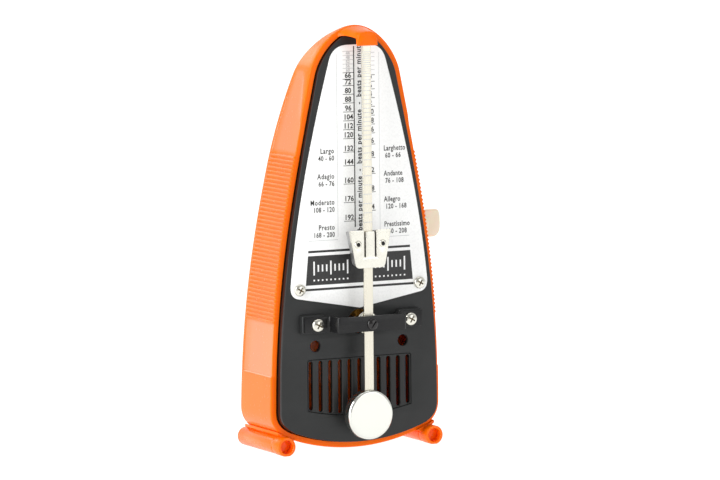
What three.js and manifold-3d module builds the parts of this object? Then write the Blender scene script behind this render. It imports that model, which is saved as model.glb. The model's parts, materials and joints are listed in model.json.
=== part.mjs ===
// Small wind-up pendulum metronome with its front cover off.
// Design frame: x = 0 is the middle of the case, y = 0 the face of the front panel (+y to the rear),
// z = 0 the surface it stands on. The whole group is then moved so that its origin lies under the
// middle of its bounding box.
import * as THREE from 'three';
import { mergeVertices } from 'three/addons/utils/BufferGeometryUtils.js';
import Module from 'manifold-3d';

const wasm = await Module();
wasm.setup();

// ---- driving dimensions, mm ----
const HEIGHT = 160;
const CASE_HALF = 35.5;          // half width of the case low down
const SHOULDER = { x: 19, z: 142 };
const CORNER = { x: 28, z: 5.75, top: 16 };
const BOTTOM = 0.6;              // lowest point of the curved underside
const WALL = 2.3;                // housing wall
const GAP = 0.3;                 // clearance between fitted pieces
const RIM = { y: 3.9, lean: 0.0165, bevel: 0.6 };
const BACK_Y = 32.6;
const PANEL = { thick: 2, skirt: 6, skirtWall: 1.4 };
const SLOT = { count: 11, pitch: 4.08, width: 1.65, top: 34.8, bottom: 14.1 };
const RIB = { first: 49.6, pitch: 1.53, count: 41, high: 0.8, proud: 0.1 };
const SIDE_RECESS = { depth: 0.4, bottom: 29.5, top: 143.5, ribMargin: 0.45, topFront: 6.6, rearMargin: 3.2 };
const FOOT = { x: 31.13, z: 3.4, r: 3.62, waist: 3.48, front: -0.9, rear: 35.5, collar: 6, bore: 2.6, boreDeep: 7 };
const PIVOT_Z = 48.85;
const ROD = { half: 1.85, front: -7.9, back: -7.3, bottom: 13, top: 154.6, eye: 2.9 };
const BOB = { z: 14.4, r: 9.3, front: -9.4, back: -5.0 };
const WEIGHT = { bottom: 69.8, top: 84, halfTop: 8.65, halfBottom: 6, front: -9.8, face: -9.0, back: -5.5 };
const BRACKET = { z0: 46.1, z1: 51.9, front: -11, strap: 1.2, step: 14.4, end: 24.6, foot: -3.8, screwX: 19.5 };
const BOSS = 2.5;                // height of the panel's pads under the bracket
const PLATE = { front: -0.6, back: -0.1, screwX: 25.16, screwZ: 62 };
const KEY = { y: 15, z: 82.5, end: 42, high: 10.5, thick: 3.2 };
const BOSS_END = 32.5;           // outer face of the collar round the key
const MODULE = 0.5;              // clock train
const TEETH = { barrel: 36, pinion: 8, wheel: 30, escape: 15, ratchet: 16 };
const ESCAPE = { y: 15, r: 8, above: 5.5 };
const FRAME = { x: 13, thick: 1.2, front: 4, back: 24, low: 44, high: 95 };
const ARBOR = { pendulum: 1.2, winding: 1.6, train: 0.8 };
const BOUNDS = { left: -CASE_HALF, right: KEY.end, front: -12.2, rear: FOOT.rear };

// ---- materials ----
const finish = (color, roughness, metalness) => new THREE.MeshStandardMaterial({ color, roughness, metalness });
const orange = () => finish(0xff6a10, 0.25, 0);
const blackPlastic = () => finish(0x434544, 0.6, 0);
const blackSteel = () => finish(0x202020, 0.35, 0.6);
const steel = () => finish(0xd8d6d0, 0.25, 1);
const brass = () => finish(0xc9a24a, 0.3, 1);
const whiteSheet = () => finish(0xf6f6f2, 0.4, 0.1);
const ivory = () => finish(0xf5ebd5, 0.4, 0);

// ---- solids ----
function toSolid(geometry) {
  const bare = geometry.clone();
  bare.deleteAttribute('normal');
  bare.deleteAttribute('uv');
  const merged = mergeVertices(bare, 1e-4);
  const vertProperties = new Float32Array(merged.attributes.position.array);
  const triVerts = new Uint32Array(merged.index.array);
  return new wasm.Manifold(new wasm.Mesh({ numProp: 3, vertProperties, triVerts }));
}

function toGeometry(solid) {
  const mesh = solid.getMesh();
  const geometry = new THREE.BufferGeometry();
  geometry.setAttribute('position', new THREE.BufferAttribute(new Float32Array(mesh.vertProperties), 3));
  geometry.setIndex(new THREE.BufferAttribute(new Uint32Array(mesh.triVerts), 1));
  geometry.computeVertexNormals();
  return geometry;
}

const join = (...parts) => toGeometry(parts.map(toSolid).reduce((a, b) => a.add(b)));
const cut = (body, ...tools) => toGeometry(tools.map(toSolid).reduce((a, b) => a.subtract(b), toSolid(body)));
const common = (a, b) => toGeometry(toSolid(a).intersect(toSolid(b)));

function box(x0, x1, y0, y1, z0, z1) {
  const size = new THREE.BoxGeometry(x1 - x0, y1 - y0, z1 - z0);
  return size.translate((x0 + x1) / 2, (y0 + y1) / 2, (z0 + z1) / 2);
}

// A cylinder along one axis, from a to b, with its centre line at (u, v) on the other two axes.
function rod(axis, r, a, b, u, v, sides = 20) {
  const geometry = new THREE.CylinderGeometry(r, r, b - a, sides).translate(0, (a + b) / 2, 0);
  if (axis === 'x') return geometry.rotateZ(-Math.PI / 2).translate(0, u, v);
  if (axis === 'y') return geometry.translate(u, 0, v);
  return geometry.rotateX(Math.PI / 2).translate(u, v, 0);
}

// An outline in x and z, pushed from y0 to y1.
function slabY(shape, y0, y1, bevel = 0, curveSegments = 8) {
  const options = { depth: y1 - y0, curveSegments, bevelEnabled: bevel > 0 };
  if (bevel > 0) {
    options.depth -= 2 * bevel;
    options.bevelThickness = bevel;
    options.bevelSize = bevel;
    options.bevelOffset = -bevel;
    options.bevelSegments = 2;
  }
  return new THREE.ExtrudeGeometry(shape, options).rotateX(Math.PI / 2).translate(0, y1 - bevel, 0);
}

// An outline in y and z, pushed from x0 to x1.
function slabX(shape, x0, x1) {
  const turn = new THREE.Matrix4().makeBasis(
    new THREE.Vector3(0, 1, 0), new THREE.Vector3(0, 0, 1), new THREE.Vector3(1, 0, 0));
  const geometry = new THREE.ExtrudeGeometry(shape, { depth: x1 - x0, curveSegments: 8, bevelEnabled: false });
  return geometry.applyMatrix4(turn).translate(x0, 0, 0);
}

// A profile of [radius, y] turned about a line along y through (x, z).
function turnedY(profile, x, z, sides = 24) {
  const points = profile.map(([r, y]) => new THREE.Vector2(r, y));
  const geometry = new THREE.LatheGeometry(points, sides);
  return geometry.translate(x, 0, z);
}

const group = new THREE.Group();
const assembly = new THREE.Group();
group.add(assembly);
function add(name, geometry, material) {
  const mesh = new THREE.Mesh(geometry, material);
  mesh.name = name;
  assembly.add(mesh);
}

// ---- case outline, seen from the front ----
const v2 = (x, y) => new THREE.Vector2(x, y);
const cornerCurve = new THREE.QuadraticBezierCurve(v2(CORNER.x, CORNER.z), v2(CASE_HALF, 9), v2(CASE_HALF, CORNER.top));
const sideCurve = new THREE.CubicBezierCurve(
  v2(CASE_HALF, CORNER.top), v2(CASE_HALF, 63), v2(29.75, 92), v2(SHOULDER.x, SHOULDER.z));
const topCurve = new THREE.CubicBezierCurve(
  v2(SHOULDER.x, SHOULDER.z), v2(17.3, 150), v2(9, HEIGHT), v2(0, HEIGHT));
const bottomRadius = (CORNER.x ** 2 + (CORNER.z - BOTTOM) ** 2) / (2 * (CORNER.z - BOTTOM));
const bottomAngle = Math.asin(CORNER.x / bottomRadius);
const bottomCurve = new THREE.EllipseCurve(0, BOTTOM + bottomRadius, bottomRadius, bottomRadius,
  -Math.PI / 2, -Math.PI / 2 + bottomAngle);

// Points of the right half, each moved inwards by inset along the curve's normal.
function halfOutline(inset) {
  const steps = [[bottomCurve, 4], [cornerCurve, 4], [sideCurve, 10], [topCurve, 8]];
  const points = [];
  for (const [curve, count] of steps) {
    const last = curve === topCurve ? count : count - 1;
    for (let i = 0; i <= last; i += 1) {
      const p = curve.getPoint(i / count);
      const along = curve.getTangent(Math.min(i / count, 0.999));
      points.push(v2(Math.max(p.x - along.y * inset, 0), p.y + along.x * inset));
    }
  }
  return points;
}

function caseShape(inset) {
  const right = halfOutline(inset);
  const left = right.slice(1, -1).reverse().map((p) => v2(-p.x, p.y));
  return new THREE.Shape([...right, ...left]);
}

// Half width of the case at height z, on the side curve.
function halfWidth(z) {
  let low = 0;
  let high = 1;
  for (let i = 0; i < 30; i += 1) {
    const middle = (low + high) / 2;
    if (sideCurve.getPoint(middle).y < z) low = middle;
    else high = middle;
  }
  return sideCurve.getPoint(low).x;
}

// ---- case outline, seen from the side: the back rises nearly straight, then curves forward ----
function sideProfile(inset, foot = -4) {
  const shape = new THREE.Shape();
  shape.moveTo(-30, foot);
  shape.lineTo(BACK_Y - inset, foot);
  shape.quadraticCurveTo(29.4 - inset, 62, 25.8 - inset, 108);
  shape.bezierCurveTo(23.5 - inset, 131, 14 - inset, 156, 2 - inset, HEIGHT + 0.6 - inset);
  shape.lineTo(-30, HEIGHT + 0.6 - inset);
  return shape;
}

function caseSolid(inset, y0, y1, bevel = 0) {
  const front = slabY(caseShape(inset), y0, y1, bevel);
  if (bevel > 0) front.rotateX(RIM.lean);
  return common(front, slabX(sideProfile(inset), -CASE_HALF - 5, CASE_HALF + 5));
}

// Rib bars follow the curved flank; they end short of the rim and of the rear edge.
function sideRibs(sign) {
  const bars = [];
  for (let i = 0; i < RIB.count; i += 1) {
    const z = RIB.first + i * RIB.pitch;
    const outer = halfWidth(z) + RIB.proud;
    const x0 = sign > 0 ? outer - 1.4 : -outer;
    bars.push(box(x0, x0 + 1.4, ribFront(z), backAt(z) - SIDE_RECESS.rearMargin, z, z + RIB.high));
  }
  return bars;
}

// Front end of the rib at height z, just behind the rim's face.
function ribFront(z) {
  return RIM.y - RIM.lean * z + SIDE_RECESS.ribMargin;
}

// Depth of the back at height z.
function backAt(z) {
  const t = z / 108;
  return t <= 1 ? BACK_Y * (1 - t) ** 2 + 2 * 29.4 * t * (1 - t) + 25.8 * t ** 2 : 25.8 - 0.2 * (z - 108);
}

function sideRecess(sign) {
  const shape = new THREE.Shape();
  shape.moveTo(0, SIDE_RECESS.bottom);
  shape.lineTo(backAt(SIDE_RECESS.bottom) - SIDE_RECESS.rearMargin, SIDE_RECESS.bottom);
  shape.lineTo(backAt(110) - SIDE_RECESS.rearMargin, 110);
  shape.lineTo(17.6, 130);
  shape.lineTo(15.2, 138);
  shape.lineTo(12, SIDE_RECESS.top - 0.9);
  shape.lineTo(SIDE_RECESS.topFront, SIDE_RECESS.top);
  shape.lineTo(0, 112);
  const reach = slabX(shape, sign > 0 ? 5 : -60, sign > 0 ? 60 : -5);
  return toGeometry(toSolid(reach).subtract(toSolid(caseSolid(SIDE_RECESS.depth, -20, 60))));
}

function caseHousing() {
  const outer = caseSolid(0, RIM.y, 60, RIM.bevel);
  const inner = caseSolid(WALL, -20, 60);
  const collar = rod('x', 6, 26, BOSS_END, KEY.y, KEY.z, 32);
  const body = cut(outer, sideRecess(1), sideRecess(-1));
  const dressed = join(body, ...sideRibs(1), ...sideRibs(-1), collar);
  const bore = rod('x', 2.4, 20, BOSS_END + 1, KEY.y, KEY.z, 24);
  const seats = [1, -1].map((s) => rod('y', FOOT.r + GAP, -5, 40, s * FOOT.x, FOOT.z, 40));
  return cut(dressed, inner, bore, ...seats);
}

// ---- foot tubes: a blind bore in the front end takes the cover's lower pins ----
function footTube(sign) {
  const { x, z, r, waist, front, rear, collar, bore, boreDeep } = FOOT;
  const turned = turnedY([
    [0, rear], [waist - 0.6, rear], [waist, rear - 0.6], [waist, front + collar], [r, front + collar - 0.3],
    [r, front + 0.3], [r - 0.3, front], [bore, front], [bore, front + boreDeep], [0, front + boreDeep],
  ].reverse(), sign * x, z, 28);
  return cut(turned, box(sign * x - 9, sign * x + 9, -9, 50, -9, 0));
}

// ---- front panel ----
function panelSlots() {
  const cutters = [];
  const half = (SLOT.count - 1) / 2;
  for (let i = -half; i <= half; i += 1) {
    const x = i * SLOT.pitch;
    const bottom = SLOT.bottom + 0.092 * i * i;
    const r = SLOT.width / 2;
    const shape = new THREE.Shape();
    shape.moveTo(x - r, bottom + r);
    shape.absarc(x, bottom + r, r, Math.PI, 2 * Math.PI);
    shape.absarc(x, SLOT.top - r, r, 0, Math.PI);
    cutters.push(slabY(shape, -5, 5, 0, 3));
  }
  return cutters;
}

function frontPanel() {
  const inset = WALL + GAP;
  const face = slabY(caseShape(inset), 0, PANEL.thick);
  const skirt = cut(slabY(caseShape(inset), PANEL.thick / 2, PANEL.skirt),
    slabY(caseShape(inset + PANEL.skirtWall), 0, PANEL.skirt + 1));
  const pads = [1, -1].map((s) => box(s * 20.4 - 4.6, s * 20.4 + 4.6, -BOSS, 1, BRACKET.z0 - 0.6, BRACKET.z1 + 0.6));
  const whole = join(face, skirt, ...pads);
  const holes = [rod('y', 4.6, -5, 5, 0, PIVOT_Z, 28)];
  for (const s of [1, -1]) {
    holes.push(rod('y', 2.15, -5, 5, s * 18.4, 40.45, 20));
    holes.push(rod('y', 1.5, -9, 9, s * BRACKET.screwX, PIVOT_Z, 12));
    holes.push(rod('y', 1.3, -5, 5, s * PLATE.screwX, PLATE.screwZ, 12));
  }
  const trimmed = common(whole, slabX(sideProfile(inset), -40, 40));
  return cut(trimmed, ...holes, ...panelSlots());
}

// ---- scale plate: thin sheet with a shallow point at the bottom ----
function scalePlate() {
  const shape = new THREE.Shape();
  const half = [[25.5, 58.6], [29.1, 59.2, 28.6, 64], [25, 99.8, 11.8, 147], [10.2, 152.8, 4, 152.8]];
  shape.moveTo(0, 54);
  shape.lineTo(...half[0]);
  half.slice(1).forEach((c) => shape.quadraticCurveTo(...c));
  shape.lineTo(-4, 152.8);
  shape.quadraticCurveTo(-10.2, 152.8, -11.8, 147);
  shape.quadraticCurveTo(-25, 99.8, -28.6, 64);
  shape.quadraticCurveTo(-29.1, 59.2, -25.5, 58.6);
  const sheet = slabY(shape, PLATE.front, PLATE.back);
  return cut(sheet,
    ...[1, -1].map((s) => rod('y', 1.3, -5, 5, s * PLATE.screwX, PLATE.screwZ, 12)));
}

// A pan-head screw along +y with a cross recess, head face at y = front.
function panScrew(x, z, front, headRadius, headHigh, shankRadius, end) {
  const screw = turnedY([
    [0, end], [shankRadius, end], [shankRadius, front + headHigh], [headRadius, front + headHigh],
    [headRadius, front + 0.55 * headHigh], [headRadius * 0.82, front + 0.15 * headHigh],
    [headRadius * 0.45, front], [0, front],
  ].reverse(), x, z, 14);
  const arm = headRadius * 0.5;
  return cut(screw,
    box(x - arm, x + arm, front - 1, front + 0.7, z - 0.3, z + 0.3),
    box(x - 0.3, x + 0.3, front - 1, front + 0.7, z - arm, z + arm));
}

// ---- pivot bracket: a steel strap stepped forward over the pendulum ----
function pivotBracket() {
  const { z0, z1, front, strap, step, end, foot, screwX } = BRACKET;
  const inner = step - strap;
  const bar = box(-step, step, front, front + strap, z0, z1);
  const pieces = [bar];
  for (const s of [1, -1]) {
    const leg = [s * inner, s * step].sort((a, b) => a - b);
    const toe = [s * inner, s * end].sort((a, b) => a - b);
    pieces.push(box(leg[0], leg[1], front, foot + strap, z0, z1));
    pieces.push(box(toe[0], toe[1], foot, foot + strap, z0, z1));
  }
  return cut(join(...pieces),
    rod('y', 1.4, -20, 0, 0, PIVOT_Z, 16),
    rod('y', 1.5, -20, 0, screwX, PIVOT_Z, 12),
    rod('y', 1.5, -20, 0, -screwX, PIVOT_Z, 12));
}

function pivotScrew() {
  const top = BOUNDS.front;
  const seat = BRACKET.front - 0.02;
  return turnedY([[0, top], [1.3, top + 0.25], [2.1, top + 0.7], [2.25, seat], [1.1, seat], [1.1, -9.5], [0, -9.5]],
    0, PIVOT_Z, 24);
}

// ---- pendulum ----
function pendulumRod() {
  const strip = box(-ROD.half, ROD.half, ROD.front, ROD.back, ROD.bottom, ROD.top);
  const eye = rod('y', ROD.eye, ROD.front, ROD.back, 0, PIVOT_Z, 24);
  return cut(join(strip, eye),
    rod('y', ARBOR.pendulum + 0.3, -20, 0, 0, PIVOT_Z, 20),
    rod('y', 1.3, -20, 0, 0, BOB.z, 16));
}

function pendulumHub() {
  const bore = ARBOR.pendulum + 0.3;
  return turnedY([[bore, -7.0], [4.3, -7.0], [4.3, -5.8], [2.6, -5.6], [2.6, -3.0], [bore, -3.0], [bore, -7.0]],
    0, PIVOT_Z, 24);
}

function pendulumArbor() {
  const r = ARBOR.pendulum;
  return turnedY([[0, -9.2], [0.5, -9.0], [0.7, -8.6], [r, -8.3], [r, 23.6], [0.6, 23.9], [0.6, 25.2], [0, 25.2]],
    0, PIVOT_Z, 16);
}

function pendulumBob() {
  const { z, r, front, back } = BOB;
  const disc = turnedY([[0, front], [r - 1.2, front], [r - 0.35, front + 0.35], [r, front + 1.2], [r, back - 0.6],
    [r - 0.6, back], [0, back]], 0, z, 40);
  return cut(disc,
    box(-ROD.half - GAP, ROD.half + GAP, ROD.front - GAP, ROD.back + GAP, 12.6, 40),
    rod('y', 1.3, ROD.back, 0, 0, z, 16),
    rod('y', 1.3, -8.9, ROD.back, 0, z, 16));
}

function bobPin() {
  return turnedY([[0, -8.6], [1, -8.6], [1, BOB.back + 0.1], [1.8, BOB.back + 0.1], [1.5, BOB.back + 0.5],
    [0, BOB.back + 0.7]], 0, BOB.z, 16);
}

// A pallet: collar pressed on the arbor with one finger, leaning by angle from the vertical.
function pallet(y, angle) {
  const collar = cut(rod('y', 2.2, y - 1, y + 1, 0, 0, 20), rod('y', ARBOR.pendulum + 0.3, y - 2, y + 2, 0, 0, 20));
  const finger = box(-0.4, 0.4, y - 0.8, y + 0.8, 1.8, 8);
  return join(collar, finger).rotateY(angle).translate(0, 0, PIVOT_Z);
}

// ---- sliding weight ----
function weightOutline(inset) {
  const { bottom, top, halfTop, halfBottom } = WEIGHT;
  const shape = new THREE.Shape();
  const r = 1.6 - inset;
  shape.moveTo(-halfBottom + inset + r, bottom + inset);
  shape.lineTo(halfBottom - inset - r, bottom + inset);
  shape.quadraticCurveTo(halfBottom - inset, bottom + inset, halfBottom - inset + 0.35, bottom + inset + r);
  shape.lineTo(halfTop - inset, top - inset);
  shape.lineTo(-halfTop + inset, top - inset);
  shape.lineTo(-halfBottom + inset - 0.35, bottom + inset + r);
  shape.quadraticCurveTo(-halfBottom + inset, bottom + inset, -halfBottom + inset + r, bottom + inset);
  return shape;
}
const RIVET = { x: 5.15, z: 78.8, head: 1.45, shank: 1.0 };

function weightPlate() {
  const tools = [];
  for (const s of [1, -1]) {
    tools.push(box(s * 2.2 - 0.4, s * 2.2 + 0.4, -12, -8, 73.9, 90));
    tools.push(rod('y', RIVET.shank + 0.25, -12, -8, s * RIVET.x, RIVET.z, 14));
  }
  return cut(slabY(weightOutline(0), WEIGHT.front, WEIGHT.face), ...tools);
}

function weightBlock() {
  const body = slabY(weightOutline(0.5), WEIGHT.face + 0.05, WEIGHT.back);
  const tools = [box(-ROD.half - GAP, ROD.half + GAP, ROD.front - GAP, -6.3, 60, 90)];
  for (const s of [1, -1]) {
    tools.push(rod('y', RIVET.shank + 0.25, -12, 0, s * RIVET.x, RIVET.z, 14));
    tools.push(box(s * 9 - 2.6, s * 9 + 2.6, -12, 0, 75.4, 77.4));
  }
  return cut(body, ...tools);
}

function weightRivet(sign) {
  const { x, z, head, shank } = RIVET;
  return turnedY([[0, -9.6], [0.7, -9.6], [0.85, -10.2], [head, -10.1], [head, WEIGHT.front - 0.02],
    [shank, WEIGHT.front - 0.02], [shank, WEIGHT.back + 0.3], [0, WEIGHT.back + 0.3]], sign * x, z, 18);
}

// A bowed leaf between block and rod, which holds the weight where it is set.
function weightSpring() {
  const shape = new THREE.Shape();
  shape.moveTo(-6.95, 77);
  shape.quadraticCurveTo(-6.9, 81, -6.6, 83);
  shape.lineTo(-6.45, 83);
  shape.quadraticCurveTo(-6.75, 81, -6.8, 77);
  shape.quadraticCurveTo(-6.75, 73, -6.45, 71);
  shape.lineTo(-6.6, 71);
  shape.quadraticCurveTo(-6.9, 73, -6.95, 77);
  return slabX(shape, -1.4, 1.4);
}

// ---- pendulum catch: a tongue from the apex that parks the rod's tip ----
const CATCH = { half: 4.2, low: 152.75, front: -9.2, thick: 0.9, roof: 157.1, top: 158.9, rear: 0.9 };

function pendulumCatch() {
  const { half, low, front, thick, roof, top, rear } = CATCH;
  const arch = (from) => {
    const shape = new THREE.Shape();
    shape.moveTo(-half, from);
    shape.lineTo(half, from);
    shape.lineTo(half, roof);
    shape.quadraticCurveTo(half - 0.6, top, 0, top);
    shape.quadraticCurveTo(-half + 0.6, top, -half, roof);
    return shape;
  };
  const tongue = slabY(arch(low), front, front + thick);
  const ledge = slabY(arch(roof - 0.8), front, -GAP);
  const tail = cut(slabY(arch(roof - 0.8), front + 1, rear), box(-9, 9, -GAP, 9, 150, HEIGHT - WALL + GAP));
  return join(tongue, ledge, tail);
}

// ---- winding key: a flat wing on a round stem, square socket inside ----
function windingKey() {
  const { y, z, end, high, thick } = KEY;
  const wing = new THREE.Shape();
  const half = high / 2;
  wing.moveTo(34.8, z - half);
  wing.lineTo(end - 3.2, z - half);
  wing.quadraticCurveTo(end, z - half, end, z);
  wing.quadraticCurveTo(end, z + half, end - 3.2, z + half);
  wing.lineTo(34.8, z + half);
  const blade = slabY(wing, y - thick / 2, y + thick / 2, 0.6);
  const stem = rod('x', 3.2, BOSS_END + GAP, 36.6, y, z, 28);
  return cut(join(blade, stem), rod('x', ARBOR.winding + 0.3, 20, 35.8, y, z, 20));
}

// ---- clock train ----
// Outline of a toothed wheel in y and z: slim tapered teeth, so that they mesh with play.
function gearShape(teeth, phase, at, bore) {
  const pitch = teeth * MODULE / 2;
  const tip = pitch + 0.62 * MODULE;
  const root = pitch - 1.0 * MODULE;
  const flank = Math.PI / teeth;
  const shape = new THREE.Shape();
  for (let i = 0; i < teeth; i += 1) {
    const middle = phase + i * 2 * flank;
    const spots = [[root, -0.62], [tip, -0.16], [tip, 0.16], [root, 0.62]];
    spots.forEach(([r, share], n) => {
      const a = middle + share * flank;
      const point = [at.y + r * Math.cos(a), at.z + r * Math.sin(a)];
      if (i === 0 && n === 0) shape.moveTo(...point);
      else shape.lineTo(...point);
    });
  }
  if (bore > 0) shape.holes.push(new THREE.Path().absarc(at.y, at.z, bore, 0, 2 * Math.PI));
  return shape;
}

// Saw-tooth outline for the ratchet and the escape wheel.
function sawShape(teeth, tip, root, at, bore, lead) {
  const shape = new THREE.Shape();
  const step = 2 * Math.PI / teeth;
  for (let i = 0; i < teeth; i += 1) {
    const a = i * step;
    const points = [[root, a], [tip, a + lead * step], [tip, a + (lead + 0.12) * step]];
    points.forEach(([r, angle], n) => {
      const point = [at.y + r * Math.cos(angle), at.z + r * Math.sin(angle)];
      if (i === 0 && n === 0) shape.moveTo(...point);
      else shape.lineTo(...point);
    });
  }
  shape.holes.push(new THREE.Path().absarc(at.y, at.z, bore, 0, 2 * Math.PI));
  return shape;
}

const winding = { y: KEY.y, z: KEY.z };
const escape = { y: ESCAPE.y, z: PIVOT_Z + ESCAPE.above + ESCAPE.r };
const firstReach = MODULE * (TEETH.barrel + TEETH.pinion) / 2;
const secondReach = MODULE * (TEETH.wheel + TEETH.pinion) / 2;
const drop = winding.z - escape.z;
const down = (firstReach ** 2 - secondReach ** 2 + drop ** 2) / (2 * drop);
const middle = { y: winding.y - Math.sqrt(firstReach ** 2 - down ** 2), z: winding.z - down };
const aim = (from, to) => Math.atan2(to.z - from.z, to.y - from.y);

// The going barrel: a drum with a toothed rim, open on the left, where its cover goes.
function springBarrel() {
  const rim = slabX(gearShape(TEETH.barrel, aim(winding, middle), winding, 0), 5.3, 6.5);
  const drum = rod('x', 8.1, -8.5, 5.5, winding.y, winding.z, 40);
  const hollow = rod('x', 7.3, -9, 4.6, winding.y, winding.z, 40);
  return cut(join(rim, drum), hollow, rod('x', ARBOR.winding + 0.3, 0, 9, winding.y, winding.z, 20));
}

function barrelCover() {
  return cut(rod('x', 7.0, -8.4, -7.6, winding.y, winding.z, 40),
    rod('x', ARBOR.winding + 0.3, -10, 0, winding.y, winding.z, 20));
}

// Mainspring: a flat strip wound into a spiral, clear of arbor, drum and cover.
function mainspring() {
  const turns = 5;
  const steps = turns * 14;
  const radius = (i) => 2.5 + (6.9 - 2.5) * (i / steps);
  const spot = (i, out) => {
    const a = 2 * Math.PI * turns * i / steps;
    return v2(winding.y + (radius(i) + out) * Math.cos(a), winding.z + (radius(i) + out) * Math.sin(a));
  };
  const outer = [];
  const inner = [];
  for (let i = 0; i <= steps; i += 1) {
    outer.push(spot(i, 0.14));
    inner.push(spot(i, -0.14));
  }
  return slabX(new THREE.Shape([...outer, ...inner.reverse()]), -6.8, 4.0);
}

// An arbor along x with thin end pivots, and a pinion cut on it between p0 and p1.
function trainArbor(at, p0, p1, phase) {
  const end = FRAME.x + FRAME.thick;
  const shaft = rod('x', ARBOR.train, -FRAME.x + 0.3, FRAME.x - 0.3, at.y, at.z, 14);
  const pivots = rod('x', 0.45, -end, end, at.y, at.z, 12);
  return join(shaft, pivots, slabX(gearShape(TEETH.pinion, phase, at, 0), p0, p1));
}

// Wheel with a centre boss and round lightening holes.
function lightened(wheel, at, ring, hole, count) {
  const holes = [];
  for (let i = 0; i < count; i += 1) {
    const a = (i + 0.5) * 2 * Math.PI / count;
    holes.push(rod('x', hole, -20, 20, at.y + ring * Math.cos(a), at.z + ring * Math.sin(a), 14));
  }
  return cut(wheel, ...holes);
}

function intermediateWheel() {
  const shape = gearShape(TEETH.wheel, aim(middle, escape), middle, ARBOR.train + 0.15);
  return lightened(slabX(shape, -10.5, -9.6), middle, 4.1, 1.4, 5);
}

function escapeWheel() {
  const shape = sawShape(TEETH.escape, ESCAPE.r, ESCAPE.r - 1.7, escape, ARBOR.train + 0.15, 0.75);
  return lightened(slabX(shape, -0.4, 0.4), escape, 3.7, 1.25, 5);
}

function windingArbor() {
  const { y, z } = winding;
  const shaft = rod('x', ARBOR.winding, -FRAME.x + 0.3, 35.6, y, z, 18);
  return join(shaft, rod('x', 0.8, -FRAME.x - FRAME.thick, 0, y, z, 14));
}

const RATCHET = { x0: 14.7, x1: 15.8, r: 5 };
const CLICK = { y: 21.5, z: 87.6, bore: 1.2 };

function ratchetWheel() {
  return slabX(sawShape(TEETH.ratchet, RATCHET.r, RATCHET.r - 0.9, winding, ARBOR.winding + 0.15, 0.8),
    RATCHET.x0, RATCHET.x1);
}

function click() {
  const { y, z } = CLICK;
  const shape = new THREE.Shape();
  shape.moveTo(y - 5.6, z + 0.2);
  shape.lineTo(y - 5.2, z + 1.1);
  shape.lineTo(y + 0.9, z + 1.5);
  shape.lineTo(y + 1.9, z + 0.3);
  shape.lineTo(y + 1.9, z - 0.7);
  shape.lineTo(y, z - 1.7);
  shape.lineTo(y - 1.6, z - 0.4);
  shape.holes.push(new THREE.Path().absarc(y, z, CLICK.bore, 0, 2 * Math.PI));
  return slabX(shape, RATCHET.x0, RATCHET.x1);
}

function clickScrew() {
  const { y, z } = CLICK;
  return join(rod('x', 0.9, FRAME.x - 0.6, RATCHET.x1 + 0.5, y, z, 14),
    rod('x', 1.8, RATCHET.x1 + 0.3, RATCHET.x1 + 1.2, y, z, 18));
}

function clickSpring() {
  const shape = new THREE.Shape();
  shape.moveTo(22.2, 76);
  shape.lineTo(23.6, 76);
  shape.lineTo(23.6, 79);
  shape.lineTo(23.3, 86);
  shape.lineTo(22.9, 86);
  shape.lineTo(23.1, 79);
  shape.lineTo(22.2, 79);
  return slabX(shape, RATCHET.x0 - 0.2, RATCHET.x1 - 0.2);
}

// ---- movement frame ----
const pillars = [[5.5, 91.5], [22.3, 92.8], [22, 52], [6.5, 57]];

// One side plate with its front flange bent outwards for the bracket screws.
function movementPlate(sign) {
  const { x, thick, front, back, low, high } = FRAME;
  const shape = new THREE.Shape();
  shape.moveTo(front, 56);
  shape.lineTo(PANEL.thick + GAP, 53.5);
  shape.lineTo(PANEL.thick + GAP, 44.4);
  shape.lineTo(back - 4, low);
  shape.lineTo(back, low + 5);
  shape.lineTo(back, high - 4);
  shape.lineTo(back - 4, high);
  shape.lineTo(front + 3, high);
  shape.lineTo(front, high - 5);
  const x0 = sign > 0 ? x : -x - thick;
  const plate = slabX(shape, x0, x0 + thick);
  const flange = [sign * x, sign * 23].sort((a, b) => a - b);
  const tab = box(flange[0], flange[1], PANEL.thick + GAP, PANEL.thick + GAP + thick, 44.4, 53.5);
  const arborHole = sign > 0 ? ARBOR.winding + 0.3 : 1.1;
  const tools = [
    rod('x', arborHole, x0 - 1, x0 + thick + 1, winding.y, winding.z, 18),
    rod('x', 0.75, x0 - 1, x0 + thick + 1, middle.y, middle.z, 12),
    rod('x', 0.75, x0 - 1, x0 + thick + 1, escape.y, escape.z, 12),
    rod('y', 1.5, 0, 8, sign * BRACKET.screwX, PIVOT_Z, 12),
  ];
  for (const [y, z] of pillars) tools.push(rod('x', 1.1, x0 - 1, x0 + thick + 1, y, z, 12));
  if (sign > 0) tools.push(rod('x', 1.15, x0 - 1, x0 + thick + 1, CLICK.y, CLICK.z, 14));
  return cut(join(plate, tab), ...tools);
}

function pillar([y, z]) {
  const end = FRAME.x + FRAME.thick;
  return join(rod('x', 1.5, -FRAME.x + 0.05, FRAME.x - 0.05, y, z, 14), rod('x', 0.85, -end, end, y, z, 12));
}

// Cross bar behind the plates that carries the rear end of the pendulum arbor.
function rearBridge() {
  const y0 = FRAME.back + GAP;
  const bar = box(-FRAME.x - FRAME.thick, FRAME.x + FRAME.thick, y0, y0 + 1.4, PIVOT_Z - 3, PIVOT_Z + 3.5);
  return cut(bar, rod('y', 0.9, 20, 30, 0, PIVOT_Z, 14));
}

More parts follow.
